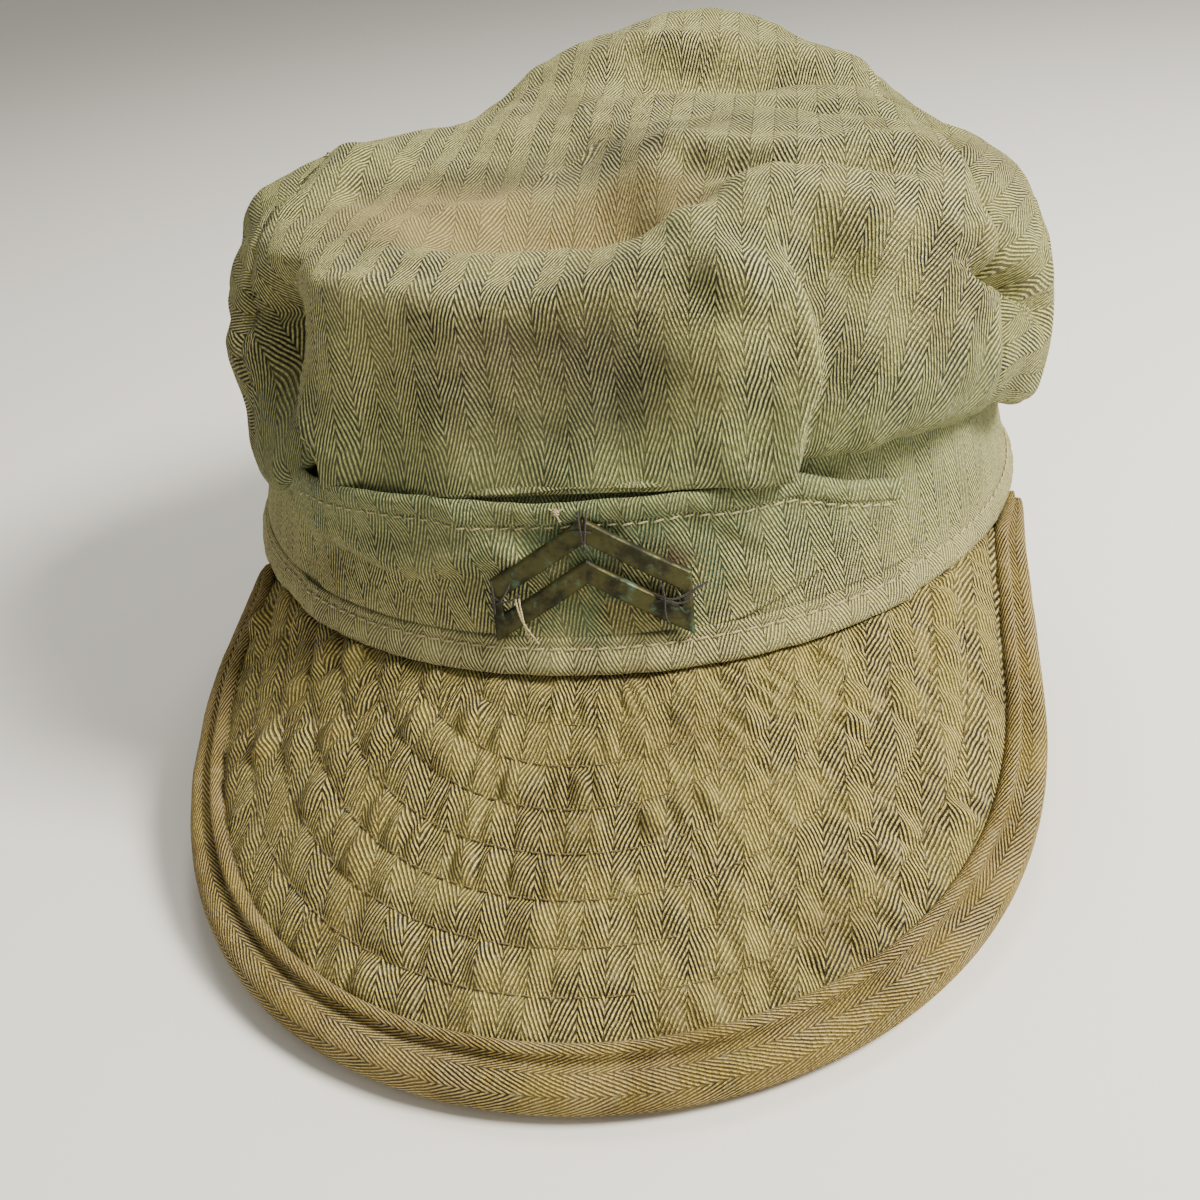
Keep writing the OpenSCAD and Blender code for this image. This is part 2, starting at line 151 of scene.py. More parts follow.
def put(name, bm, smooth_shade=True):
    """Makes a piece of a finished bmesh, whose places are in millimetres."""
    mesh = bpy.data.meshes.new(name)
    bmesh.ops.scale(bm, vec=(MM, MM, MM), verts=bm.verts)
    bm.to_mesh(mesh)
    bm.free()
    for poly in mesh.polygons:
        poly.use_smooth = smooth_shade
    return link(name, mesh)


def cloth_grid(name, places, flat, inside, keep=None):
    """Sheet of cloth from a grid of places, with its flat cut as a UV map in metres.

    flat is a grid of cut places, or a function of a face's mean row and column that gives such a grid.
    inside is a point that the cloth faces away from. keep is a grid of faces that stay."""
    across, along = places.shape[0] - 1, places.shape[1] - 1
    bm = bmesh.new()
    bmesh.ops.create_grid(bm, x_segments=across, y_segments=along, size=0.5)
    spot = {v: (round((v.co.x + 0.5) * across), round((v.co.y + 0.5) * along)) for v in bm.verts}
    cut = bm.loops.layers.uv.new("cut")
    doomed = []
    for face in bm.faces:
        i = min(spot[v][0] for v in face.verts)
        j = min(spot[v][1] for v in face.verts)
        if keep is not None and not keep[i, j]:
            doomed.append(face)
            continue
        grid = flat(i, j) if callable(flat) else flat
        for loop in face.loops:
            loop[cut].uv = grid[spot[loop.vert]] * MM
    for v in bm.verts:
        v.co = places[spot[v]]
    bmesh.ops.delete(bm, geom=doomed, context="FACES")
    bmesh.ops.remove_doubles(bm, verts=bm.verts, dist=0.002)
    out = sum((f.normal.dot(f.calc_center_median() - Vector(inside)) * f.calc_area() for f in updated(bm)))
    if out < 0:
        bmesh.ops.reverse_faces(bm, faces=bm.faces)
    return put(name, bm)


def updated(bm):
    bm.normal_update()
    return bm.faces


def thicken(obj, thickness, inwards=True):
    wall = obj.modifiers.new("cloth", "SOLIDIFY")
    wall.thickness = thickness * MM
    wall.offset = -1 if inwards else 1
    bake_in(obj)


def bake_in(obj):
    """Makes a piece's modifiers part of its mesh."""
    graph = bpy.context.evaluated_depsgraph_get()
    mesh = bpy.data.meshes.new_from_object(obj.evaluated_get(graph))
    obj.modifiers.clear()
    obj.data = mesh


def soften(obj):
    """Rounds the bends of a folded piece."""
    soft = obj.modifiers.new("soft", "SUBSURF")
    soft.levels = soft.render_levels = 1
    bake_in(obj)


def thread(name, paths, radius):
    """Loose thread along one or more smooth paths."""
    curve = bpy.data.curves.new(name, "CURVE")
    curve.dimensions = "3D"
    curve.bevel_depth = radius * MM
    curve.bevel_resolution = 1
    for path in paths:
        spline = curve.splines.new("NURBS")
        spline.points.add(len(path) - 1)
        for point, place in zip(spline.points, path):
            point.co = (*(np.array(place) * MM), 1)
        spline.use_endpoint_u = True
        spline.order_u = 3
        spline.resolution_u = 3
    obj = link(name, curve)
    graph = bpy.context.evaluated_depsgraph_get()
    mesh = bpy.data.meshes.new_from_object(obj.evaluated_get(graph))
    bpy.data.objects.remove(obj)
    for poly in mesh.polygons:
        poly.use_smooth = True
    return link(name, mesh)


def stitches(name, rows, length=2.5, radius=0.27, bow=0.0):
    """Rows of single stitches. A row is a list of places and a list of outward directions."""
    bm = bmesh.new()
    for row, (places, outs) in enumerate(rows):
        places = np.array(places, float)
        run = np.concatenate([[0], np.cumsum(np.linalg.norm(np.diff(places, axis=0), axis=1))])
        pitch = length + 0.75
        for k in range(int(run[-1] / pitch)):
            wobble = noise.noise(Vector((k * 0.73, row * 3.1, 0)))
            middle = (k + 0.5 + 0.1 * wobble) * pitch
            at = Vector([np.interp(middle, run, places[:, c]) for c in range(3)])
            ahead = Vector([np.interp(middle + 0.6, run, places[:, c]) for c in range(3)])
            out = Vector([np.interp(middle, run, np.array(outs)[:, c]) for c in range(3)]).normalized()
            along = (ahead - at).normalized()
            side = out.cross(along).normalized()
            along = (along + side * 0.16 * wobble + side * bow).normalized()
            side = out.cross(along).normalized()
            turn = Matrix((side, along, out)).transposed().to_4x4()
            grow = length / 2 * (1 + 0.12 * wobble)
            size = Matrix.Diagonal((radius, grow, radius * 0.9, 1))
            bmesh.ops.create_uvsphere(
                bm, u_segments=6, v_segments=4, radius=1,
                matrix=Matrix.Translation(at) @ turn @ size @ Matrix.Rotation(math.pi / 2, 4, "X"))
    return put(name, bm)


# ---------------------------------------------------------------- crown shape


def by_side(a, front, side, back):
    return side + (front - side) * np.maximum(0, cos(a)) ** 2 + (back - side) * np.maximum(0, -cos(a)) ** 2


def crown_profile(a, t):
    """Radius and height of the crown at an angle, t from 0 at the band to 1 at the middle."""
    full = ((1 / 96.5) ** 12 + (np.maximum(0, cos(a)) / 84) ** 12) ** (-1 / 12)
    one = np.ones_like(a)
    radius = [86.45 * one, full, by_side(a, 79, 84, 74), by_side(a, 45, 48, 43), 0 * one]
    height = [37.3 * one, 48 * one, by_side(a, 71, 77, 91), by_side(a, 81, 84, 93), 85 * one]
    step = np.clip(np.floor(t * 4), 0, 3).astype(int)
    u = t * 4 - step
    out = []
    for line, first, last in (
        (radius, 2 * radius[0] - radius[1], -radius[3]),
        (height, height[0] - 4, height[3])):
        line = np.stack([first, *line, last])
        b, c, d, e = (np.take_along_axis(line, (step + k)[None], 0)[0] for k in range(4))
        out.append(0.5 * (2 * c + (d - b) * u + (2 * b - 5 * c + 4 * d - e) * u**2
            + (3 * c - b - 3 * d + e) * u**3))
    return out


def crown_plain(a, t):
    """Crown surface before its folds and hollows."""
    radius, height = crown_profile(a, t)
    slump = np.minimum(1, 4 * t)
    return np.stack([radius * sin(a) + 3 * slump, -radius * cos(a),
        height + 0.05 * radius * sin(a) * slump], -1)


# Hollows and swells of the crown: middle, reach across, forwards and up, and how far they push
CROWN_PUSHES = [
    ((-10, -40, 78), (34, 15, 30), (0, 0, -11)),
    ((12, -44, 78), (18, 14, 30), (0, 0, -10)),
    ((-22, -14, 84), (28, 18, 30), (0, 0, -8)),
    ((40, -52, 80), (20, 15, 30), (0, 0, 5)),
    ((51, -66, 74), (8, 8, 10), (-2, 3, -5)),
    ((-62, 4, 80), (20, 30, 25), (1, 0, 5)),
    ((22, 64, 95), (26, 22, 30), (0, 2, 4)),
    ((26, 33, 90), (30, 11, 30), (0, 0, -8)),
    ((-50, 58, 88), (24, 30, 30), (3, 0, -11)),
    ((88, 26, 84), (24, 44, 24), (-5, 0, -8)),
    ((95, -20, 43), (14, 32, 12), (0, -1, -7)),
    ((-90, -12, 44), (18, 38, 12), (4, 1, -2)),
    ((-82, -38, 38), (15, 20, 10), (5, 3, -4)),
    ((-66, -57, 40), (15, 16, 9), (-1, -2, -7)),
    ((-64, -60, 60), (13, 15, 13), (7, 11, 0)),
    ((60, -62, 55), (12, 14, 20), (-1, 4, 0)),
    ((0, -84, 52), (30, 10, 18), (0, -2, 0)),
    ((32, -80, 62), (14, 12, 9), (0, -4, 3)),
]

# Creases (below zero) and rolls (above zero) of the crown: path, half width and height
CROWN_FOLDS = [
    ([(-54, -56, 69), (-46, -64, 72), (-34, -72, 73), (-16, -79, 72), (-1, -80, 72), (13, -76, 73),
        (24, -70, 75)], 5, 3.6),
    ([(15, -26, 80), (20, -44, 77), (25, -62, 75), (32, -74, 72), (40, -78, 69), (47, -77, 64)], 5, 4.5),
    ([(10, -30, 80), (13, -46, 76), (16, -60, 74)], 4, -1.8),
    ([(13, -18, 82), (27, -30, 84), (45, -42, 85), (60, -42, 83), (77, -36, 79)], 3.5, -2.4),
    ([(10, -10, 84), (27, -22, 86), (48, -32, 86), (70, -30, 83)], 5, 2.2),
    ([(52, -70, 70), (62, -62, 66), (74, -52, 62)], 5, -3),
    ([(50, -64, 78), (62, -56, 74), (74, -48, 68)], 5, 2),
    ([(76, -56, 67), (84, -50, 62), (93, -38, 55), (99, -22, 51)], 1.9, -7),
    ([(76, -53, 73), (87, -45, 68), (96, -30, 60)], 4, 2.6),
    ([(-10, 38, 90), (28, 36, 90), (60, 28, 88), (82, 10, 84)], 5, -2.2),
    ([(-12, 47, 92), (26, 45, 93), (60, 38, 90)], 6, 2.4),
    ([(30, 10, 86), (56, -2, 87), (78, -8, 84)], 4, -1.6),
    ([(30, 58, 95), (58, 54, 91), (80, 40, 84)], 4, -1.4),
    ([(-46, -52, 76), (-36, -34, 79), (-20, -20, 80), (-8, -4, 82)], 7, 2.6),
    ([(-60, -30, 80), (-44, 0, 84), (-30, 30, 88)], 6, -2),
    ([(-72, -34, 76), (-62, -14, 82), (-56, 8, 84)], 5, 1.8),
    ([(-80, -20, 76), (-84, 10, 72), (-82, 40, 70)], 7, 1.6),
    ([(-60, -58, 66), (-72, -46, 60), (-84, -28, 54)], 4, -2.4),
    ([(-58, -64, 52), (-70, -54, 48), (-84, -38, 46)], 4, -1.8),
    ([(-62, -60, 59), (-76, -46, 54), (-88, -26, 50)], 5, 1.6),
    ([(54, -74, 42), (66, -66, 43), (80, -52, 44), (92, -30, 46)], 4, -2.4),
    ([(56, -72, 50), (70, -60, 50), (84, -46, 50)], 5, 1.8),
    ([(60, -66, 60), (76, -52, 58)], 5, -1.4),
    ([(-20, -84, 60), (-24, -84, 48), (-22, -82, 40)], 5, 0.9),
    ([(-34, -80, 64), (-38, -80, 50), (-34, -80, 42)], 4, -0.9),
    ([(14, -84, 60), (12, -84, 48), (16, -82, 40)], 5, -0.8),
    ([(34, -82, 58), (30, -83, 48), (36, -80, 40)], 4, 0.8),
    ([(-52, 40, 84), (-38, 52, 88), (-20, 60, 92)], 5, 1.8),
    ([(60, 60, 80), (74, 52, 66), (80, 46, 52)], 6, -1.8),
    ([(-40, 74, 70), (-52, 70, 60), (-60, 64, 48)], 6, -1.6),
    ([(6, 84, 80), (2, 88, 66), (8, 88, 50)], 6, 1.2),
]

# Wrinkles of the crown that follow no path: height, how close together along each axis, and start
CROWN_WRINKLES = [(2.0, (0.035, 0.035, 0.035), 0), (1.3, (0.07, 0.1, 0.1), 7), (0.5, (0.2, 0.2, 0.2), 3)]


def dart_line(turn, t):
    """Angle of each of the four darts at a share t up the crown."""
    if turn == "front_left":
        return 28 + 2.5 * smooth(0.2, 0.3, t)
    if turn == "front_right":
        return -35 - 14 * smooth(0.2, 0.46, t)
    return (180 - BACK_DART if turn == "back_left" else BACK_DART - 180) + 0 * t


def crown_place(a, t, depth=0.0):
    """Place on the finished crown, set in from its outside by depth."""
    a, t = np.broadcast_arrays(np.asarray(a, float), np.asarray(t, float))
    step = 0.004
    p = crown_plain(a, t)
    round_it = crown_plain(a + 0.4, t) - crown_plain(a - 0.4, t)
    up_it = crown_plain(a, np.minimum(1, t + step)) - crown_plain(a, np.maximum(0, t - step))
    n = np.cross(round_it, up_it)
    size = np.linalg.norm(n, axis=-1, keepdims=True)
    n = np.where(size > 1e-6, n / np.maximum(size, 1e-6), np.array([0, 0, 1.0]))
    held = smooth(0, 0.1, t)[..., None]
    moved = np.zeros_like(p)
    for middle, reach, shift in CROWN_PUSHES:
        moved += bell(np.linalg.norm((p - middle) / np.array(reach), axis=-1), 1)[..., None] * shift
    # The cloth hangs over the band at both sides.
    droop = bell(t - 0.13, 0.1) * (np.abs(sin(a)) ** 1.5 * np.where(sin(a) > 0, 1, 0.8)
        + 0.34 * np.maximum(0, cos(a)) ** 2) * (1 - 0.15 * bell(a + 48, 16))
    moved[..., 2] -= 11 * droop
    moved += (3.0 * droop)[..., None] * n * np.array([1, 1, 0])
    swell = np.zeros(a.shape)
    for path, width, height in CROWN_FOLDS:
        off, place = along_path(p, path)
        ends = smooth(0, 0.2, place) * smooth(0, 0.2, 1 - place)
        swell += height * bell(off, width) * (0.25 + 0.75 * ends)
    # Darts: the middle of the front and of the back stands over the cloth beside it.
    for turn, low in (("front_left", 4.6), ("front_right", 9), ("back_left", 1.6), ("back_right", 1.6)):
        line = dart_line(turn, t)
        off = (a - line + 180) % 360 - 180
        off = off * np.sign(line) * (1.5 if "front" in turn else -1.5)
        fade = smooth(0.54, 0.44, t)
        out = np.where(off > 0, -low * np.exp(-np.maximum(off, 0) / 11), 1.5 * np.exp(np.minimum(off, 0) / 9))
        swell += fade * out * smooth(0, 1.1, np.abs(off))
    # Small gathers where the crown is sewn to the band.
    swell += 0.7 * ripple(a * 0.22, t * 4, 3.0) * bell(t - 0.08, 0.1)
    for height, pace, start in CROWN_WRINKLES:
        swell += height * ripple(*np.moveaxis(p * np.array(pace) + start, -1, 0))
    p = p + moved * held + n * swell[..., None] * held
    return p - n * np.asarray(depth, float)[..., None] if np.ndim(depth) else p - n * depth


def side_seam(a, t):
    """Below 0 on a side panel, 0 on its seam, and above 0 on the centre panel."""
    off = np.abs(np.abs(a) - SIDE_MID) / SIDE_HALF
    return (off**3 + (t / SIDE_TOP) ** 3) ** (1 / 3) - 1


def side_seam_path(side, low=0.02):
    """Angles and shares up one end of a side panel's seam, over its top and down the other."""
    out = []
    for k in np.linspace(0, 180, 90):
        c = math.cos(math.radians(k))
        off = math.copysign(abs(c) ** (2 / 3), c)
        share = SIDE_TOP * max(0, 1 - abs(off) ** 3) ** (1 / 3)
        if share > low:
            out.append((side * (SIDE_MID - off * SIDE_HALF), share))
    return np.array(out)


def crown_centre():
    columns, rows = 420, 96
    a = np.linspace(-180, 180, columns + 1)[:, None] + np.zeros(rows + 1)
    t = np.zeros(columns + 1)[:, None] + np.linspace(0, 1, rows + 1)
    seam = side_seam(a, t)
    # Places close to a side seam are moved onto it.
    near = (np.abs(seam) < 0.018) & (t > 0.001)
    grow = np.where(near, 1 / (1 + seam), 1)
    centre = np.sign(a) * SIDE_MID
    a = np.where(near, centre + (a - centre) * grow, a)
    t = np.where(near, t * grow, t)
    seam = side_seam(a, t)
    tuck = 0.65 * np.exp(-np.maximum(seam, 0) * 60 / 1.1)
    places = crown_place(a, t, tuck)
    places[-1] = places[0]
    middle = seam[:-1, :-1] + seam[1:, :-1] + seam[:-1, 1:] + seam[1:, 1:]
    keep = middle > 0
    run = np.zeros_like(t)
    plain = crown_plain(a, t)
    run[:, :-1] = np.cumsum(np.linalg.norm(np.diff(plain, axis=1), axis=-1)[:, ::-1], axis=1)[:, ::-1]
    wide = np.hypot(plain[..., 0], plain[..., 1])
    # The cut lies flat on top. Below the darts, the front and the back keep their weave upright.
    open_cut = np.stack([run * sin(a), run * cos(a)], -1)
    fall = np.sign(cos(a)) * (run - np.minimum(wide, run) * (1 - np.abs(cos(a))))
    upright = np.stack([wide * sin(a), fall], -1)

    def cut(i, j):
        angle, share = (a[i, j] + a[i + 1, j]) / 2, t[i, j]
        front = dart_line("front_right", share) < angle < dart_line("front_left", share)
        return upright if front or abs(angle) > 180 - BACK_DART else open_cut

    obj = cloth_grid("crown_centre_cloth", places, cut, (0, 0, 50), keep)
    thicken(obj, CROWN_CLOTH)
    return obj


def crown_side(side):
    columns, rows = 130, 72
    ends = np.linspace(0, 180, columns + 1)
    off = -np.cos(np.radians(ends))
    a = side * (SIDE_MID + off * (SIDE_HALF + 1.5))
    high = np.maximum(0.02, 0.645 * (1 - np.abs(off) ** 5) ** 0.2)
    t = high[:, None] * np.linspace(0, 1, rows + 1)
    a = a[:, None] + 0 * t
    seam = side_seam(a, t)
    under = 0.1 + 0.75 * smooth(-0.035, 0, seam) + 0.6 * smooth(0, 0.02, seam)
    places = crown_place(a, t, under)
    flat = np.stack([t * 150, (a - side * SIDE_MID) * math.radians(90)], -1)
    name = "crown_left_cloth" if side > 0 else "crown_right_cloth"
    obj = cloth_grid(name, places, flat, (0, 0, 50))
    thicken(obj, CROWN_CLOTH)
    return obj


def strip(name, angles, shares, depth, thickness):
    """Narrow strip of cloth inside the crown, over a grid of angles and shares: along it, then across."""
    places = crown_place(angles, shares, depth)
    along = np.linalg.norm(np.diff(places, axis=0), axis=-1).mean(axis=1)
    across = np.linalg.norm(np.diff(places, axis=1), axis=-1).mean(axis=0)
    run = [np.concatenate([[0], np.cumsum(way)]) for way in (along, across)]
    flat = np.stack(np.broadcast_arrays(run[0][:, None], run[1][None, :]), -1)
    obj = cloth_grid(name, places, flat, tuple(places.reshape(-1, 3).mean(0) * 1.4 + np.array([0, 0, 20])))
    thicken(obj, thickness)
    return obj


# ---------------------------------------------------------------- band shape


def band_r(z):
    return BAND_R0 - BAND_LEAN * z / BAND_H


def around(a, r, z):
    a, r, z = np.broadcast_arrays(a, r, z)
    return np.stack([r * sin(a), -r * cos(a), z], -1)


def band_wave(a, z):
    """How far the band's cloth stands off its plain round."""
    wave = 0.5 * ripple(sin(a) * 3, cos(a) * 3, z * 0.03) + 0.25 * ripple(sin(a) * 9, cos(a) * 9, z * 0.07)
    return wave * smooth(0, 10, z) * smooth(38, 30, z) - 1.6 * bell(a + 80, 32) * bell(z - 21, 9)


def ring(name, z_line, offset, columns=300, start=-180, sweep=360):
    """Ring of cloth round the band: heights up one side of it, and its distance off the band at each."""
    a = np.linspace(start, start + sweep, columns + 1)[:, None]
    z = np.asarray(z_line, float)[None, :]
    r = band_r(z) + offset(a, z)
    places = around(a, r, z)
    if sweep == 360:
        places[-1] = places[0]
    run = np.concatenate([[0], np.cumsum(np.abs(np.diff(z_line)))])
    flat = np.stack(np.broadcast_arrays(np.radians(a) * 92, run), -1)
    return cloth_grid(name, places, flat, (0, 0, 18))


def pocket_present(a):
    return smooth(47, 43, np.abs(a))


def hem_offset(a):
    """How far the hem's section stands off the band, from its upper edge round its fold and up inside."""
    front = 0.35 + 1.15 * pocket_present(a)
    pucker = 0.34 * ripple(a * 0.62, 0.3) + 0.25 * ripple(a * 0.2, 4.2)
    outs = [front - 0.5, front + 0.15, front, front - 0.2, front + 0.45, front + 1.1, front + 1.4,
        front + 1.15, front + 0.4, -0.6, -1.7, -2.35, -2.5, -2.5]
    # The stitched upper edge puckers less than the free roll.
    loose = [out + pucker * (0.6 if i < 4 else 1) for i, out in enumerate(outs)]
    return np.stack([np.broadcast_to(out, a.shape) for out in loose], -1)


HEM_Z = [8.3, 7.7, 7.0, 6.3, 5.6, 4.4, 2.9, 1.5, 0.45, 0.0, 0.15, 0.7, 1.6, 3.4]


def hem():
    columns = 420
    a = np.linspace(-180, 180, columns + 1)
    sag = 0.35 * ripple(sin(a) * 2.5, cos(a) * 2.5, 0.7)
    z = np.array(HEM_Z)[None, :] + (sag * 0.8)[:, None]
    r = band_r(np.array(HEM_Z))[None, :] + hem_offset(a)
    places = around(a[:, None], r, z)
    places[-1] = places[0]
    run = np.concatenate([[0], np.cumsum(np.hypot(np.diff(HEM_Z), 0.9))])
    flat = np.stack(np.broadcast_arrays(np.radians(a)[:, None] * 94, -run), -1)
    obj = cloth_grid("band_hem_fold", places, flat, (0, 0, 30))
    soften(obj)
    thicken(obj, 0.6)
    return obj


def ring_row(a, z, out):
    """Path of a stitch row round the band, with its outward directions."""
    a = np.asarray(a, float)
    return around(a, band_r(z) + out, z), around(a, np.ones_like(a), 0.12)


# ---------------------------------------------------------------- pocket


def mouth_z(x):
    """Height of the pocket's mouth, seen from the front."""
    return np.interp(x, [-64, -58, -40, -20, 0, 20, 43, 64], [33.0, 36.2, 37.2, 36.4, 36.2, 36.2, 34.6, 25.5])


def foot_z(x):
    """Height of the pocket's foot: short round corner on the wearer's right, long slant on the left."""
    right = 10 - np.sqrt(np.maximum(0, 100 - np.maximum(0, -x - 54) ** 2))
    left = 14.5 * np.clip((x - 26) / 38, 0, 1) ** 1.5
    return 7.4 + right + left


# Creases (below zero) and rolls (above zero) of the pocket: path, half width and height
POCKET_FOLDS = [
    ([(-58, 0, 24), (-30, 0, 22), (-12, 0, 27)], 3.2, 2.0),
    ([(-22, 0, 33), (-8, 0, 24), (-17, 0, 14)], 3.2, 1.4),
    ([(-50, 0, 18), (-34, 0, 15), (-20, 0, 20)], 3.0, -1.6),
    ([(24, 0, 31), (34, 0, 22), (50, 0, 17)], 3.0, -0.8),
    ([(28, 0, 29), (40, 0, 20), (56, 0, 18)], 2.6, 0.7),
]


def pocket_out(x, z):
    """How far the pocket stands off the band."""
    drop = mouth_z(x) - z
    gape = 4.2 * bell(x + 46, 17) * smooth(15, 0, drop) + 1.3 * bell(x - 4, 34) * smooth(9, 0, drop)
    spot = np.stack([x, 0 * x, z], -1)
    folds = sum(height * bell(along_path(spot, path)[0], width) for path, width, height in POCKET_FOLDS)
    wave = 0.9 * ripple(x * 0.07, z * 0.11, 1.0) + 0.42 * ripple(x * 0.2, z * 0.22, 5.0)
    edge = smooth(0, 4, z - foot_z(x)) * smooth(64, 58, np.abs(x))
    edge = edge + (1 - edge) * 0.15
    # The pocket lies down on the band at its outer edges.
    return 0.75 + 0.4 * smooth(0, 6, z - foot_z(x)) + gape + (folds + wave) * edge


def pocket_place(x, z, lift=0.0):
    r = band_r(z) + pocket_out(x, z) + lift
    return np.stack(np.broadcast_arrays(x, -np.sqrt(np.maximum(1, r**2 - x**2)), z), -1)


def pocket():
    x = np.linspace(-64, 64, 161)[:, None]
    share = np.linspace(0, 1, 33)[None, :]
    z = foot_z(x) + (mouth_z(x) - 0.6 - foot_z(x)) * share
    x = x + 0 * z
    places = pocket_place(x, z)
    arc = np.degrees(np.arcsin(x / 91))
    flat = np.stack([np.radians(arc) * 91 + 0.16 * z, z], -1)
    obj = cloth_grid("pocket_cloth", places, flat, (0, 0, 18))
    thicken(obj, 0.8)
    return obj


def pocket_mouth():
    """Turned hem along the pocket's mouth, round over its upper edge."""
    x = np.linspace(-64, 64, 221)[:, None]
    drops = np.array([4.6, 4.2, 3.2, 1.8, 0.7, 0.1, 0.0, 0.3, 1.2, 2.6])[None, :]
    lifts = np.array([-0.1, 0.45, 0.75, 0.95, 0.9, 0.45, -0.1, -0.7, -1.0, -0.95])[None, :]
    pucker = 0.18 * ripple(x * 0.45, 0.2) + 0.1 * ripple(x * 1.1, 3.0)
    z = mouth_z(x) - drops + 0.3 * ripple(x * 0.12, 9.0)
    xs = x + 0 * z
    places = pocket_place(xs, z, lifts + pucker)
    run = np.concatenate([[0], np.cumsum(np.hypot(np.diff(drops[0]), np.diff(lifts[0])))])
    flat = np.stack(np.broadcast_arrays(xs * 1.15 + 0.16 * z, 31 + run[None, :]), -1)
    obj = cloth_grid("pocket_mouth_fold", places, flat, (0, 0, 18))
    soften(obj)
    thicken(obj, 0.35)
    return obj


# ---------------------------------------------------------------- badge


def badge_place(x, z, out):
    """Place on the badge, seen from the front, bent round the band."""
    r = band_r(22) + 2.6 + out
    return Vector((x, -math.sqrt(r * r - x * x) + 0.17 * (z - 22), z))


def chevron_badge():
    half, rise, bar, gap, top, web = 19.5, 12.3, 4.7, 3.4, 33.3, 2.2
    slope = rise / half
    bm = bmesh.new()
    tall = 2 * bar + gap
    steps = 10
    columns = [-half, -half + web] + list(np.linspace(-half + web, 0, steps)[1:]) \
        + list(np.linspace(0, half - web, steps)[1:]) + [half]
    lines = []
    for x in columns:
        head = top - abs(x) * slope
        lines.append([bm.verts.new((x, 0, head - d)) for d in (0, bar, bar + gap, tall)])
    for k, (left, right) in enumerate(zip(lines, lines[1:])):
        for j in range(3):
            if j == 1 and 0 < k < len(lines) - 2:
                continue
            bm.faces.new((left[j], left[j + 1], right[j + 1], right[j]))
    bmesh.ops.recalc_face_normals(bm, faces=bm.faces)
    grown = bmesh.ops.extrude_face_region(bm, geom=list(bm.faces))
    fronts = [v for v in grown["geom"] if isinstance(v, bmesh.types.BMVert)]
    bmesh.ops.translate(bm, verts=fronts, vec=(0, -1.1, 0))
    bmesh.ops.recalc_face_normals(bm, faces=bm.faces)
    sharp = [e for e in bm.edges if len(e.link_faces) == 2 and e.calc_face_angle() > 0.9
        and max(v.co.y for v in e.verts) < -1]
    bmesh.ops.bevel(bm, geom=sharp, offset=0.55, segments=3, profile=0.5, affect="EDGES", material=-1)
    for v in bm.verts:
        v.co = badge_place(v.co.x + 4, v.co.z, -v.co.y)
    return put("chevron_badge_plate", bm, smooth_shade=False)


def wraps(name, spots, radius=0.22):
    """Loose turns of thread: each spot is a list of places on the badge as (x, z, out)."""
    return thread(name, [[badge_place(*p) for p in spot] for spot in spots], radius)


# ---------------------------------------------------------------- visor shape


def visor_z(x, y):
    rho = np.hypot(x, y)
    fall = -math.tan(math.radians(VISOR_DROOP)) * (rho - OPENING_R) * (1 + 1.9 * (1 + y / np.maximum(rho, 1)))
    # Under the hem the visor runs in nearly level.
    level = -0.15 - 0.5 * np.maximum(0, rho - 94) + 0.8 * np.maximum(0, 93.6 - rho)
    return np.where(rho < 97, np.minimum(fall, level), fall)


def visor_place(x, y, lift=0.0):
    """Place on the visor, set off from its upper face by lift."""
    step = 0.05
    sx = (visor_z(x + step, y) - visor_z(x - step, y)) / (2 * step)
    sy = (visor_z(x, y + step) - visor_z(x, y - step)) / (2 * step)
    n = np.stack([-sx, -sy, np.ones_like(sx)], -1)
    n /= np.linalg.norm(n, axis=-1, keepdims=True)
    return np.stack([x, y, visor_z(x, y)], -1) + n * np.asarray(lift)[..., None], n


def outline(s, d):
    """Plan of the visor's edge, inset by d; s runs from -1 at the wearer's right to 1 at the left."""
    s, d = np.broadcast_arrays(np.asarray(s, float), np.asarray(d, float))
    bend = 0.86
    a = np.minimum(1, np.abs(s) / bend) * 90
    run = np.maximum(0, np.abs(s) - bend) / (1 - bend)
    end_y = np.where(s > 0, VISOR_END_Y[1], VISOR_END_Y[-1])
    taper = np.where(s > 0, 0, 10.5) * run**1.6
    return (np.sign(s) * ((VISOR_HALF - d) * sin(a) - taper),
        -VISOR_WIDE_Y - (VISOR_REACH - d) * cos(a) + run * (VISOR_WIDE_Y - end_y))


def inset(x, y):
    """How far a place in plan lies in from the visor's edge."""
    return VISOR_HALF - np.hypot(x, np.minimum(0, y + VISOR_WIDE_Y) * VISOR_HALF / VISOR_REACH)


def row_inset(k):
    return BINDING_W - 1.4 + k * ROW_PITCH


def quilt(x, y, under):
    """Height of the quilted cloth: a pillow between rows, with puckers across it."""
    d = inset(x, y)
    phase = (d - row_inset(0)) / ROW_PITCH
    lane = np.floor(phase)
    puff = np.abs(np.sin(np.pi * phase)) ** 0.7
    turn = np.degrees(np.arctan2(x, -(y + VISOR_WIDE_Y)))
    arc = np.where(y < -VISOR_WIDE_Y, turn * 1.1, np.sign(x) * (99 + (y + VISOR_WIDE_Y)))
    leant = arc * 0.16 + 0.25 * phase
    crimp = 1.5 * np.abs(ripple(leant, lane * 5.3 + under * 40, 2.0)) - 0.3
    crimp = crimp + 0.5 * ripple(leant * 0.6, lane * 2.9, 5.0)
    crimp = crimp + 0.35 * ripple(arc * 0.45, lane * 3.7 + under * 30, 8.0)
    waves = 0.3 * ripple(x * 0.03, y * 0.03, 4.0 + under)
    return (0.1 + 1.0 * puff + 2.3 * crimp * puff + waves) * smooth(4.5, 9.5, d)


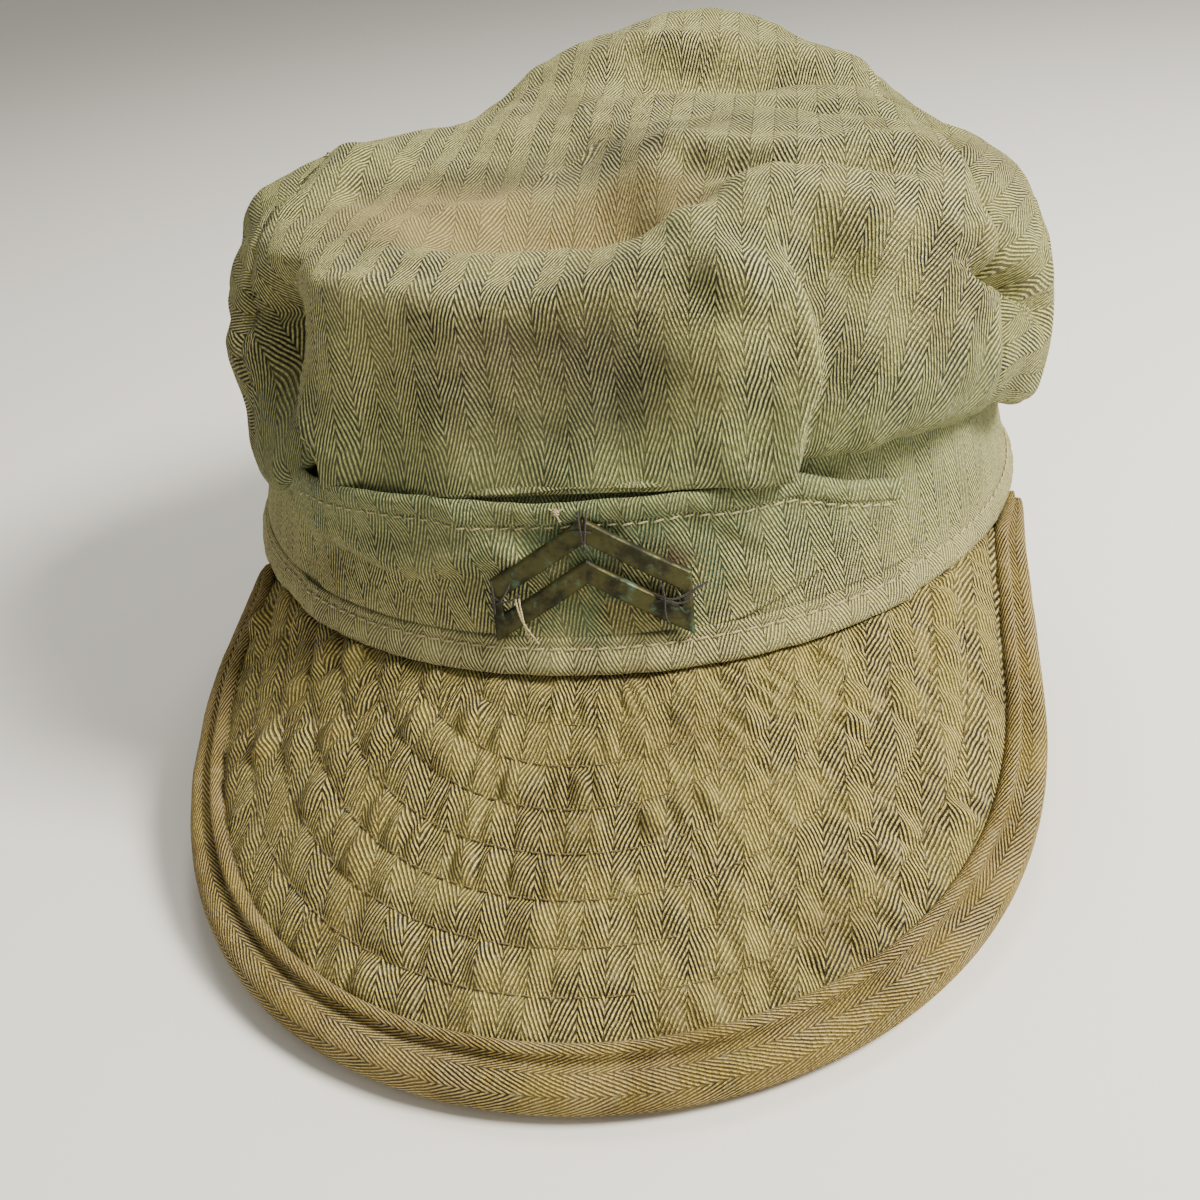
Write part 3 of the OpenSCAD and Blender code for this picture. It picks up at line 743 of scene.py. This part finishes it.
def visor_cover(name, under):
    columns, rows = 330, 112
    s = np.linspace(-1, 1, columns + 1)[:, None]
    share = np.linspace(0, 1, rows + 1)[None, :]
    a = s * np.where(s > 0, VISOR_IN_ANGLE[1], VISOR_IN_ANGLE[-1])
    ox, oy = outline(s, 2.0)
    # The inner edge lies under the hem.
    ix, iy = COVER_IN_R * sin(a), -COVER_IN_R * cos(a)
    x, y = ix + (ox - ix) * share, iy + (oy - iy) * share
    height = quilt(x, y, under) * smooth(0, 0.06, share) - 0.3
    lift = -VISOR_T - height if under else height
    places, _ = visor_place(x, y, lift)
    flat = np.stack([x, np.hypot(1, 0.57) * y], -1)
    return cloth_grid(name, places, flat, (0, -130, 60) if under else (0, -130, -120))


def ply(name, lift):
    columns, rows = 64, 16
    s = np.linspace(-0.93, 0.93, columns + 1)[:, None]
    share = np.linspace(0, 1, rows + 1)[None, :]
    a = s * np.where(s > 0, VISOR_IN_ANGLE[1], VISOR_IN_ANGLE[-1])
    ox, oy = outline(s, 3.5)
    ix, iy = OPENING_R * sin(a), -OPENING_R * cos(a)
    x, y = ix + (ox - ix) * share, iy + (oy - iy) * share
    places, _ = visor_place(x, y, lift + 0 * x)
    obj = cloth_grid(name, places, np.stack([x, y], -1), (0, -130, -120))
    thicken(obj, 0.7)
    return obj


# The binding's section: distance in from the visor's edge, and height over its upper face
BINDING_TOP = [(10.2, -0.2), (10.4, 1.0), (9.7, 2.2), (8.6, 2.5), (7.6, 1.7), (7.0, 0.5), (6.4, 0.5),
    (5.4, 1.6), (3.8, 2.4), (2.2, 2.4), (0.8, 1.7), (-0.4, 0.4), (-1.1, -0.9)]


def binding():
    columns = 420
    s = np.linspace(-1, 1, columns + 1)
    section = np.array(BINDING_TOP)
    middle = np.array([[-1.3, -VISOR_T / 2]])
    below = np.stack([section[::-1, 0], -VISOR_T - section[::-1, 1]], 1)
    section = np.concatenate([section, middle, below])
    ox, oy = outline(s, 0)
    ix, iy = outline(s, 1)
    edge, n = visor_place(ox, oy, 0 * ox)
    inner, _ = visor_place(ix, iy, 0 * ix)
    inwards = inner - edge
    inwards /= np.linalg.norm(inwards, axis=1, keepdims=True)
    # Where the binding reaches the band it narrows and goes in under the hem.
    narrow = smooth(1.0, 0.95, np.abs(s))[:, None]
    run = np.concatenate([[0], np.cumsum(np.linalg.norm(np.diff(edge, axis=0), axis=1))])
    pull = 0.12 * ripple(run * 0.9, 0.0)[:, None] + 0.3 * ripple(run * 0.1, 6.0)[:, None]
    wide = section[None, :, 0] * (0.45 + 0.55 * narrow)
    tall = (section[None, :, 1] + VISOR_T / 2) * (1 + 0.1 * pull)
    roll = bell(section[:, 0] - 3, 4)[None, :]
    tall = tall + np.sign(tall) * pull * 0.5 * roll - VISOR_T / 2
    places = edge[:, None] + inwards[:, None] * wide[..., None] + n[:, None] * tall[..., None]
    around_it = np.concatenate([[0], np.cumsum(np.linalg.norm(np.diff(section, axis=0), axis=1))])
    flat = np.stack(np.broadcast_arrays(run[:, None], around_it[None, :]), -1)
    obj = cloth_grid("visor_binding_tape", places, flat, (0, -100, -20))
    soften(obj)
    return obj


def visor_rows(depths, lift):
    """Stitch rows across the visor, each inset by a depth, that stop short of the hem."""
    rows = []
    for d in depths:
        s = np.linspace(-1, 1, 400)
        x, y = outline(s, d)
        clear = np.hypot(x, y) > 97.5
        places, n = visor_place(x[clear], y[clear], np.full(clear.sum(), lift))
        rows.append((places, n * (1 if lift > 0 else -1)))
    return rows


# ---------------------------------------------------------------- finishes


class Finish:
    """Short calls for a material's or a node group's nodes."""

    def __init__(self, tree):
        self.tree = tree

    def node(self, kind, inputs=(), **settings):
        made = self.tree.nodes.new(kind)
        for key, value in settings.items():
            setattr(made, key, value)
        for key, value in dict(inputs).items():
            self.feed(made.inputs[key], value)
        return made

    def feed(self, socket, value):
        if isinstance(value, bpy.types.NodeSocket):
            self.tree.links.new(value, socket)
        else:
            socket.default_value = value

    def math(self, kind, a, b=0.0, c=0.0, clamp=False):
        return self.node("ShaderNodeMath", {0: a, 1: b, 2: c}, operation=kind, use_clamp=clamp).outputs[0]

    def mix(self, share, a, b, kind="MIX"):
        made = self.node("ShaderNodeMix", data_type="RGBA", blend_type=kind)
        self.feed(made.inputs[0], share)
        self.feed(made.inputs[6], a)
        self.feed(made.inputs[7], b)
        return made.outputs[2]

    def noise(self, where, scale, detail=3.0, rough=0.55):
        return self.node("ShaderNodeTexNoise",
            {"Vector": where, "Scale": scale, "Detail": detail, "Roughness": rough}).outputs[0]

    def step(self, value, low, high):
        """0 at low and 1 at high, smoothly."""
        made = self.node("ShaderNodeMapRange", interpolation_type="SMOOTHSTEP")
        for key, number in enumerate((value, low, high)):
            self.feed(made.inputs[key], number)
        return made.outputs[0]

    def blob(self, where, middle, reach):
        """1 at a place in metres, fading to 0 at its reach."""
        shift = [-m / r for m, r in zip(middle, reach)]
        away = self.node("ShaderNodeMapping",
            {"Vector": where, "Location": shift, "Scale": [1 / r for r in reach]})
        far = self.node("ShaderNodeVectorMath", {0: away.outputs[0]}, operation="LENGTH").outputs["Value"]
        return self.step(far, 1.0, 0.35)


def new_finish(name):
    """New material, the calls for its nodes, its shader and the place on the piece."""
    made = bpy.data.materials.new(name)
    made.use_nodes = True
    f = Finish(made.node_tree)
    return made, f, made.node_tree.nodes["Principled BSDF"], f.node("ShaderNodeTexCoord").outputs["Object"]


def group(name, sockets, outs):
    tree = bpy.data.node_groups.new(name, "ShaderNodeTree")
    for key, kind, value in sockets:
        made = tree.interface.new_socket(key, in_out="INPUT", socket_type=kind)
        if value is not None:
            made.default_value = value
    for key, kind in outs:
        tree.interface.new_socket(key, in_out="OUTPUT", socket_type=kind)
    f = Finish(tree)
    return tree, f, f.node("NodeGroupInput"), f.node("NodeGroupOutput")


def herringbone_weave():
    """Herringbone twill on the flat cut: ribs that lean one way and the other in neighbouring columns."""
    tree, f, given, out = group("herringbone_weave",
        [("Cut", "NodeSocketVector", None), ("Column", "NodeSocketFloat", COLUMN),
            ("Rib", "NodeSocketFloat", RIB)],
        [("Rib", "NodeSocketFloat"), ("Thread", "NodeSocketFloat"), ("Height", "NodeSocketFloat")])
    cut = f.node("ShaderNodeSeparateXYZ", {0: given.outputs["Cut"]})
    drift = f.noise(given.outputs["Cut"], 90.0, 2.0)
    x = f.math("DIVIDE", f.math("MULTIPLY_ADD", drift, 0.0008, cut.outputs[0]), given.outputs["Column"])
    lean = f.math("MULTIPLY_ADD", f.math("FLOORED_MODULO", f.math("FLOOR", x), 2.0), 2.0, -1.0)
    across = f.math("SUBTRACT", f.math("FRACT", x), 0.5)
    wobble = f.math("MULTIPLY", f.noise(given.outputs["Cut"], 260.0, 2.0), 0.55)
    line = f.math("ADD", f.math("DIVIDE", cut.outputs[1], given.outputs["Rib"]),
        f.math("MULTIPLY", f.math("MULTIPLY", lean, across), 6.0))
    line = f.math("ADD", line, wobble)
    wave = f.math("SINE", f.math("MULTIPLY", line, 2 * math.pi))
    rib = f.step(wave, -0.7, 0.75)
    border = f.step(f.math("ABSOLUTE", across), 0.5, 0.44)
    rib = f.math("MULTIPLY", rib, f.math("MULTIPLY_ADD", border, 0.45, 0.55))
    strands = f.math("SINE", f.math("MULTIPLY", f.math("DIVIDE", cut.outputs[1], given.outputs["Rib"]), 9.0))
    fuzz = f.step(f.noise(given.outputs["Cut"], 1500.0, 2.0, 0.7), 0.3, 0.7)
    # Ribs that lean one way catch less light.
    rib = f.math("MULTIPLY", rib, f.math("MULTIPLY_ADD", lean, 0.07, 0.93))
    f.feed(out.inputs["Rib"], rib)
    f.feed(out.inputs["Thread"], fuzz)
    height = f.math("ADD", f.math("MULTIPLY", rib, f.math("MULTIPLY_ADD", strands, 0.12, 0.88)),
        f.math("MULTIPLY", fuzz, 0.35))
    f.feed(out.inputs["Height"], height)
    return tree


def age():
    """Broad fading, soft blotches and fine specks that every cloth of the cap shares."""
    tree, f, given, out = group("age",
        [("Place", "NodeSocketVector", None), ("Scale", "NodeSocketFloat", 1.0)],
        [("Fade", "NodeSocketFloat"), ("Blotch", "NodeSocketFloat"), ("Speck", "NodeSocketFloat")])
    scale = given.outputs["Scale"]
    place = given.outputs["Place"]
    fade = f.noise(place, f.math("MULTIPLY", scale, 16.0), 3.0)
    blotch = f.noise(place, f.math("MULTIPLY", scale, 42.0), 4.0)
    speck = f.noise(place, f.math("MULTIPLY", scale, 420.0), 3.0)
    f.feed(out.inputs["Fade"], f.step(fade, 0.35, 0.65))
    f.feed(out.inputs["Blotch"], f.step(blotch, 0.5, 0.68))
    f.feed(out.inputs["Speck"], f.step(speck, 0.55, 0.72))
    return tree


WEAVE, AGE = herringbone_weave(), age()


def cloth_finish(name, light, dark, tint, stain, extra=None,
        column=COLUMN, rib=RIB, swap=False, depth=0.65):
    """Twill in a light and a dark shade, greened and stained with age; extra may paint more on it."""
    made, f, shader, place = new_finish(name)
    cut = f.node("ShaderNodeUVMap", uv_map="cut").outputs[0]
    if swap:
        cut = f.node("ShaderNodeMapping", {"Vector": cut, "Rotation": (0, 0, math.pi / 2)}).outputs[0]
    weave = f.node("ShaderNodeGroup", node_tree=WEAVE)
    f.feed(weave.inputs["Cut"], cut)
    weave.inputs["Column"].default_value = column
    weave.inputs["Rib"].default_value = rib
    old = f.node("ShaderNodeGroup", node_tree=AGE)
    f.feed(old.inputs["Place"], place)
    fade, blotch, speck = (old.outputs[k] for k in ("Fade", "Blotch", "Speck"))
    thread_mask = f.math("MULTIPLY_ADD", weave.outputs["Thread"], 0.75, 0.45)
    rib_mask = f.math("MULTIPLY", weave.outputs["Rib"], thread_mask, clamp=True)
    # The grooves fill with pale fluff where the cloth is rubbed.
    fluff = f.step(f.noise(place, 75.0, 3.0, 0.6), 0.40, 0.62)
    rib_mask = f.math("MAXIMUM", rib_mask, f.math("MULTIPLY", fluff, 0.16))
    light = f.mix(f.math("MULTIPLY", fade, 0.5), light, tint)
    colour = f.mix(rib_mask, dark, light)
    colour = f.mix(f.math("MULTIPLY", blotch, 0.35), colour, stain, "MULTIPLY")
    colour = f.mix(f.math("MULTIPLY", speck, 0.18), colour, (0.62, 0.57, 0.32, 1))
    # Painted shade, partly real browning: the low folds at the wearer's right are darkened with a brown
    # multiply.
    brown = f.blob(place, (-0.078, -0.046, 0.050), (0.034, 0.050, 0.030))
    colour = f.mix(f.math("MULTIPLY", brown, 0.28), colour, rgb(150, 124, 84), "MULTIPLY")
    if extra:
        colour = extra(f, colour, place, weave, old)
    f.feed(shader.inputs["Base Color"], colour)
    f.feed(shader.inputs["Roughness"], f.math("MULTIPLY_ADD", rib_mask, -0.1, 0.95))
    bump = f.node("ShaderNodeBump",
        {"Height": weave.outputs["Height"], "Strength": 1.0, "Distance": depth * MM})
    f.feed(shader.inputs["Normal"], bump.outputs[0])
    shader.inputs["Specular IOR Level"].default_value = 0.18
    shader.inputs["Sheen Weight"].default_value = 0.1
    shader.inputs["Sheen Roughness"].default_value = 0.6
    return made


def rgb(r, g, b):
    """Screen colour, 0 to 255, as a linear colour."""
    return (*(((c / 255 + 0.055) / 1.055) ** 2.4 if c > 10 else c / 255 / 12.92 for c in (r, g, b)), 1)


INK = rgb(122, 113, 138)


def ink_smudges(f, colour, place, weave, old):
    """Old ink washed out to two plain stains: an even oval in front and a soft streak on top."""
    cloud = f.step(f.noise(place, 55.0, 3.0, 0.5), 0.32, 0.62)
    cloud = f.math("MULTIPLY_ADD", cloud, 0.4, 0.6)
    front = f.blob(place, (0, -0.084, 0.058), (0.034, 0.040, 0.020))
    streak = f.blob(place, (0, -0.010, 0.084), (0.060, 0.014, 0.050))
    for stain, strength in ((front, 0.7), (streak, 0.45)):
        share = f.math("MULTIPLY", f.math("MULTIPLY", stain, cloud), strength)
        colour = f.mix(share, colour, INK, "MULTIPLY")
    brown = f.math("MAXIMUM", f.blob(place, (0.004, -0.040, 0.070), (0.040, 0.026, 0.03)),
        f.blob(place, (-0.030, -0.030, 0.074), (0.036, 0.026, 0.03)))
    colour = f.mix(f.math("MULTIPLY", brown, 0.5), colour, rgb(158, 132, 80))
    # The crown's lower part, next to the band, is mixed towards a darker blue-green.
    green = f.step(f.node("ShaderNodeSeparateXYZ", {0: place}).outputs[2], 0.062, 0.034)
    return f.mix(f.math("MULTIPLY", green, 0.34), colour, rgb(84, 108, 70))


def band_tints(f, colour, place, weave, old):
    """Painted blue-green shade on the upper band near the mouth, a paler hem from wear and painted light,
    green bleed and rust round the badge.
    """
    # Painted shade: the band's upper part, near the pocket mouth, is mixed towards a darker blue-green.
    mouth_shade = f.step(f.node("ShaderNodeSeparateXYZ", {0: place}).outputs[2], 0.012, 0.034)
    colour = f.mix(f.math("MULTIPLY", mouth_shade, 0.35), colour, rgb(92, 122, 84))
    # The hem is painted paler: partly wear on its rubbed ribs, partly painted light on its roll.
    low = f.step(f.node("ShaderNodeSeparateXYZ", {0: place}).outputs[2], 0.011, 0.006)
    worn_and_lit = f.math("MULTIPLY", low, f.math("MULTIPLY_ADD", weave.outputs["Rib"], 0.35, 0.1))
    colour = f.mix(worn_and_lit, colour, rgb(226, 214, 152))
    halo = f.blob(place, (0.005, -0.09, 0.020), (0.034, 0.03, 0.019))
    cloud = f.step(f.noise(place, 130.0, 3.0), 0.42, 0.62)
    colour = f.mix(f.math("MULTIPLY", f.math("MULTIPLY", halo, cloud), 0.5), colour, rgb(74, 110, 78))
    rust = f.blob(place, (0.016, -0.09, 0.020), (0.012, 0.03, 0.010))
    return f.mix(f.math("MULTIPLY", f.math("MULTIPLY", rust, cloud), 0.7), colour, rgb(96, 56, 34))


def binding_wear(f, colour, place, weave, old):
    """Pale threads where the edge has rubbed."""
    rubbed = f.step(f.noise(place, 60.0, 4.0, 0.7), 0.42, 0.6)
    share = f.math("MULTIPLY", f.math("MULTIPLY", rubbed, weave.outputs["Rib"]), 0.6)
    return f.mix(share, colour, rgb(206, 180, 122))


def thread_finish(name, colour, other):
    made, f, shader, place = new_finish(name)
    twist = f.node("ShaderNodeTexWave", {"Vector": place, "Scale": 900.0, "Distortion": 3.0},
        bands_direction="DIAGONAL")
    shade = f.mix(f.noise(place, 240.0, 3.0), colour, other)
    dark = f.math("MULTIPLY", twist.outputs[1], 0.45)
    f.feed(shader.inputs["Base Color"], f.mix(dark, shade, (0.02, 0.02, 0.015, 1)))
    bump = f.node("ShaderNodeBump", {"Height": twist.outputs[1], "Strength": 0.6, "Distance": 0.0001})
    f.feed(shader.inputs["Normal"], bump.outputs[0])
    shader.inputs["Roughness"].default_value = 0.8
    shader.inputs["Sheen Weight"].default_value = 0.2
    return made


def metal_finish():
    """Tarnished brass with green in its corners."""
    made, f, shader, place = new_finish("tarnished_brass")
    patch = f.step(f.noise(place, 160.0, 5.0, 0.65), 0.42, 0.62)
    green = f.step(f.noise(place, 330.0, 4.0, 0.6), 0.56, 0.7)
    colour = f.mix(patch, rgb(68, 66, 30), rgb(36, 36, 18))
    colour = f.mix(f.math("MULTIPLY", green, 0.7), colour, rgb(62, 92, 70))
    f.feed(shader.inputs["Base Color"], colour)
    f.feed(shader.inputs["Metallic"], f.math("MULTIPLY_ADD", green, -0.4, 0.55))
    f.feed(shader.inputs["Roughness"], f.math("MULTIPLY_ADD", patch, 0.25, 0.42))
    pits = f.node("ShaderNodeBump",
        {"Height": f.noise(place, 700.0, 4.0), "Strength": 0.4, "Distance": 0.0003})
    f.feed(shader.inputs["Normal"], pits.outputs[0])
    return made


def board_finish():
    made, f, shader, place = new_finish("stiffening_board")
    colour = f.mix(f.noise(place, 120.0, 5.0), rgb(150, 132, 98), rgb(196, 180, 146))
    f.feed(shader.inputs["Base Color"], colour)
    shader.inputs["Roughness"].default_value = 0.9
    return made


crown_finish = cloth_finish("crown_twill",
    rgb(236, 228, 146), rgb(26, 25, 8), rgb(198, 200, 118), rgb(150, 130, 86), ink_smudges)
side_finish = cloth_finish("side_twill",
    rgb(224, 217, 134), rgb(26, 25, 8), rgb(186, 190, 110), rgb(150, 130, 86))
band_finish = cloth_finish("band_twill",
    rgb(240, 231, 150), rgb(29, 27, 9), rgb(206, 210, 130), rgb(150, 128, 84), band_tints)
visor_finish = cloth_finish("visor_twill",
    rgb(238, 216, 120), rgb(34, 29, 8), rgb(214, 192, 98), rgb(150, 126, 78))
binding_finish = cloth_finish("binding_twill",
    rgb(222, 192, 96), rgb(46, 38, 10), rgb(194, 166, 78), rgb(150, 122, 74),
    binding_wear, column=0.0042, rib=0.0016, swap=True)
lining_finish = cloth_finish("lining_twill",
    rgb(190, 178, 130), rgb(120, 110, 74), rgb(170, 160, 112), rgb(140, 118, 80),
    column=0.03, rib=0.0009, depth=0.12)
olive_finish = thread_finish("olive_thread", rgb(138, 118, 68), rgb(106, 92, 50))
cream_finish = thread_finish("cream_thread", rgb(214, 200, 152), rgb(176, 160, 112))
black_finish = thread_finish("black_thread", rgb(34, 30, 30), rgb(58, 46, 40))

# ---------------------------------------------------------------- the pieces: crown

place_piece(crown_centre(), "cap", crown_finish, ["crown_centre_panel"])
place_piece(crown_side(1), "cap", side_finish, ["crown_left_panel"])
place_piece(crown_side(-1), "cap", side_finish, ["crown_right_panel"])
lanes = np.linspace(-1, 1, 7)[None, :]
for side, name in ((1, "left"), (-1, "right")):
    angles, shares = side_seam_path(side, 0.08).T[..., None]
    grow = 1 + 0.036 * lanes
    angles = side * SIDE_MID + (angles - side * SIDE_MID) * grow
    seam = strip(f"crown_{name}_felled_seam", angles, shares * grow, 2.9, 0.8)
    place_piece(seam, "cap", lining_finish, [f"crown_{name}_seam"])
    for place, angle in (("front", side * FRONT_DART), ("back", side * (180 - BACK_DART))):
        steps = np.linspace(0.04, 0.46, 14)[:, None]
        across = angle + lanes * (2.4 - 4.2 * steps)
        fold = strip(f"{place}_dart_fold_{name}", across, steps + 0 * lanes, 2.8, 0.8)
        place_piece(fold, "cap", crown_finish, [f"{place}_dart_{name}"])

# ---------------------------------------------------------------- the pieces: band

band = ring("band_cloth", np.linspace(1.6, BAND_H + 0.6, 30), band_wave)
thicken(band, 1.0)
place_piece(band, "cap", band_finish, ["band_shell"])
tape = ring("crown_seam_tape_cloth", np.linspace(31.5, 36.5, 6),
    lambda a, z: -1.5 + 0.2 * ripple(a * 0.1, z * 0.1), 200)
thicken(tape, 0.8)
place_piece(tape, "cap", lining_finish, ["crown_seam_tape"])
sweat = ring("sweatband_cloth", np.linspace(1.9, 30.6, 20),
    lambda a, z: -1.5 + 0.25 * ripple(sin(a) * 5, cos(a) * 5, z * 0.05), 260)
thicken(sweat, 0.9)
place_piece(sweat, "cap", lining_finish, ["sweatband"])
back_seam = ring("band_back_seam_cloth", np.linspace(8.0, 36.5, 16),
    lambda a, z: 1.0 - 0.5 * np.abs(a - 180) / 4, 12, 176, 8)
thicken(back_seam, 0.7)
place_piece(back_seam, "cap", band_finish, ["band_back_seam"])
place_piece(hem(), "cap", band_finish, ["band_hem"])
turn = np.linspace(-180, 180, 700)
hem_row = ring_row(turn, 6.3, 0.35 + 1.15 * pocket_present(turn) + 0.3)
place_piece(stitches("band_hem_stitches", [hem_row], bow=0.12), "cap", cream_finish,
    ["band_hem_stitching"])
place_piece(stitches("sweatband_stitches", [ring_row(turn, 4.6, -2.75)]), "cap", cream_finish,
    ["sweatband_stitching"])

# ---------------------------------------------------------------- the pieces: pocket

place_piece(pocket(), "cap", band_finish, ["pocket_panel"])
place_piece(pocket_mouth(), "cap", band_finish, ["pocket_mouth_hem"])
x = np.linspace(-60, 62, 300)
outwards = around(np.degrees(np.arcsin(x / 92)), np.ones_like(x), 0.1)
mouth_row = (pocket_place(x, mouth_z(x) - 5.2, 0.25), outwards)
place_piece(stitches("pocket_mouth_stitches", [mouth_row], length=2.2, radius=0.24, bow=0.15),
    "cap", cream_finish, ["pocket_mouth_stitching"])

# ---------------------------------------------------------------- the pieces: badge

place_piece(chevron_badge(), "cap", metal_finish(), ["chevron_badge"])
for name, node, finish, spots in (
    ("badge_point_tie", "badge_thread_point", black_finish, [
        [(3.2, 34.6, 0.2), (3.4, 33.0, 1.7), (3.9, 29.0, 1.8), (4.2, 26.6, 0.4)],
        [(4.8, 34.4, 0.2), (4.7, 33.0, 1.6), (4.2, 29.4, 1.9), (3.6, 27.0, 0.4)],
        [(1.6, 31.0, 1.3), (3.6, 31.6, 2.0), (5.6, 30.8, 1.4)]]),
    ("badge_left_tie", "badge_thread_left", black_finish, [
        [(24.6, 17.6, 0.2), (22.0, 16.6, 1.8), (18.6, 16.4, 1.9), (16.0, 17.4, 0.6)],
        [(24.4, 15.8, 0.2), (21.6, 14.8, 1.8), (18.0, 17.0, 1.9), (15.4, 15.6, 0.6)],
        [(17.6, 20.4, 1.5), (18.6, 17.6, 2.0), (18.0, 13.2, 1.7), (19.0, 11.0, 1.2)],
        [(22.0, 16.4, 1.9), (24.6, 18.8, 2.6), (26.6, 19.2, 2.2)]]),
    ("badge_right_tie", "badge_thread_right", black_finish, [
        [(-16.6, 18.8, 0.2), (-14.0, 17.4, 1.9), (-11.4, 17.2, 1.6), (-9.6, 18.4, 0.4)],
        [(-16.4, 16.0, 0.2), (-14.4, 16.2, 1.9), (-12.0, 19.4, 1.7), (-11.2, 21.0, 0.8)],
        [(-15.2, 21.0, 0.9), (-14.6, 18.0, 1.9), (-15.0, 14.6, 1.6)]]),
    ("badge_repair_strands", "badge_repair_thread", cream_finish, [
        [(-10.8, 17.6, 0.4), (-10.0, 14.6, 1.9), (-8.2, 11.2, 1.8), (-7.0, 8.2, 0.4)],
        [(-10.0, 17.4, 0.4), (-9.4, 14.4, 1.9), (-8.8, 11.0, 1.8), (-8.4, 8.4, 0.4)]])):
    place_piece(wraps(name, spots, 0.2), "cap", finish, [node])


def knot(name, at, out, size, node):
    """Small knot of thread with loose ends."""
    at, out = np.array(at), np.array(out) / np.linalg.norm(out)
    side = np.cross(out, (0, 0, 1.0))
    up = np.cross(side, out)
    turns = []
    for k in range(5):
        lean = k * 1.25
        ringed = []
        for j in range(9):
            w = j * 2 * math.pi / 8
            flat_way = side * math.cos(lean) + up * math.sin(lean)
            tall_way = out * 0.6 + up * 0.3 * math.cos(lean)
            ringed.append(at + out * size * 0.6 + size * (math.cos(w) * flat_way + math.sin(w) * tall_way))
        turns.append(ringed)
    for k, way in enumerate((side + 0.6 * up, -side + 0.4 * up, -up - 0.4 * side)):
        bend, end = at + way * size * 1.3 + out * size, at + way * size * (1.8 + k * 0.4) + out * 0.3
        turns.append([at + out * size * 0.5, bend, end])
    return place_piece(thread(name, turns, size * 0.24), "cap", cream_finish, [node])


knot("pocket_tack_knot", pocket_place(np.array(-1.0), np.array(34.6), 0.4), (0, -1, 0.3), 0.75, "pocket_tack")
for side, name, size in ((1, "left", 0.25), (-1, "right", 0.4)):
    tip = crown_place(np.array([[dart_line(f"front_{name}", 0.47) - 2 * side]]), np.array([[0.47]]))[0, 0]
    knot(f"dart_thread_{name}", tip, (side * 0.5, -0.8, 0.4), size, f"dart_knot_{name}")

# ---------------------------------------------------------------- the pieces: visor

for name, under, node in (
    ("visor_upper_cloth", 0, "visor_upper_cover"), ("visor_under_cloth", 1, "visor_under_cover")):
    place_piece(visor_cover(name, under), "visor", visor_finish, [node], blend=True)
board = board_finish()
place_piece(ply("visor_upper_board", -1.0), "visor", board, ["visor_upper_ply"], blend=True)
place_piece(ply("visor_lower_board", -2.0), "visor", board, ["visor_lower_ply"], blend=True)
place_piece(binding(), "visor", binding_finish, ["visor_binding"], blend=True)
rows = [row_inset(k) for k in range(1, ROW_COUNT + 1)]
quilt_rows = visor_rows(rows, 0.12) + visor_rows(rows, -VISOR_T - 0.12)
place_piece(stitches("visor_quilt_stitches", quilt_rows, length=2.3, radius=0.2),
    "visor", olive_finish, ["visor_quilting"], blend=True)
binding_rows = visor_rows([6.75], 0.95) + visor_rows([6.75], -VISOR_T - 0.95)
place_piece(stitches("visor_binding_stitches", binding_rows, length=2.3, radius=0.26),
    "visor", olive_finish, ["visor_binding_stitching"], blend=True)

# ---------------------------------------------------------------- room, light and camera


def studio():
    low = min(cad_box[0][2], cad_box[1][2]) - 0.0005
    bm = bmesh.new()
    bmesh.ops.create_grid(bm, x_segments=1, y_segments=1, size=3.0)
    back = [e for e in bm.edges if all(v.co.y > 2.9 for v in e.verts)]
    rise = bmesh.ops.extrude_edge_only(bm, edges=back)
    risen = [v for v in rise["geom"] if isinstance(v, bmesh.types.BMVert)]
    bmesh.ops.translate(bm, verts=risen, vec=(0, 0.2, 3))
    bmesh.ops.translate(bm, verts=bm.verts, vec=(0, 0, low))
    mesh = bpy.data.meshes.new("floor")
    bm.to_mesh(mesh)
    bm.free()
    floor = link("floor", mesh)
    paint = bpy.data.materials.new("floor_paint")
    paint.use_nodes = True
    shader = paint.node_tree.nodes["Principled BSDF"]
    shader.inputs["Base Color"].default_value = rgb(244, 241, 232)
    shader.inputs["Roughness"].default_value = 0.85
    mesh.materials.append(paint)
    world = bpy.data.worlds.new("room")
    bpy.context.scene.world = world
    world.use_nodes = True
    world.node_tree.nodes["Background"].inputs[0].default_value = (1, 0.98, 0.94, 1)
    world.node_tree.nodes["Background"].inputs[1].default_value = 0.33
    for name, place, size, power, tone in (
        ("key", (0.68, -0.16, 0.68), 0.28, 21, (1, 0.96, 0.88)),
        ("fill", (-0.8, -0.8, 0.6), 0.9, 0.9, (1, 0.98, 0.92)),
        ("top", (0.05, 0.45, 1.0), 0.4, 5.5, (1, 0.99, 0.96))):
        lamp = bpy.data.lights.new(name, "AREA")
        lamp.size = size
        lamp.energy = power
        lamp.color = tone
        obj = link(name, lamp)
        obj.location = place
        obj.rotation_euler = (Vector((0, -0.04, 0.03)) - Vector(place)).to_track_quat("-Z", "Y").to_euler()


def camera():
    view = bpy.data.cameras.new("camera")
    view.sensor_width = 36
    view.lens = CAMERA_LENS
    view.clip_start = 0.01
    obj = link("camera", view)
    right, up = Vector(CAMERA_RIGHT), Vector(CAMERA_UP)
    back = right.cross(up)
    turn = Matrix((right, up, back)).transposed().to_4x4()
    obj.matrix_world = Matrix.Translation(CAMERA_AT) @ turn
    bpy.context.scene.camera = obj


studio()
camera()
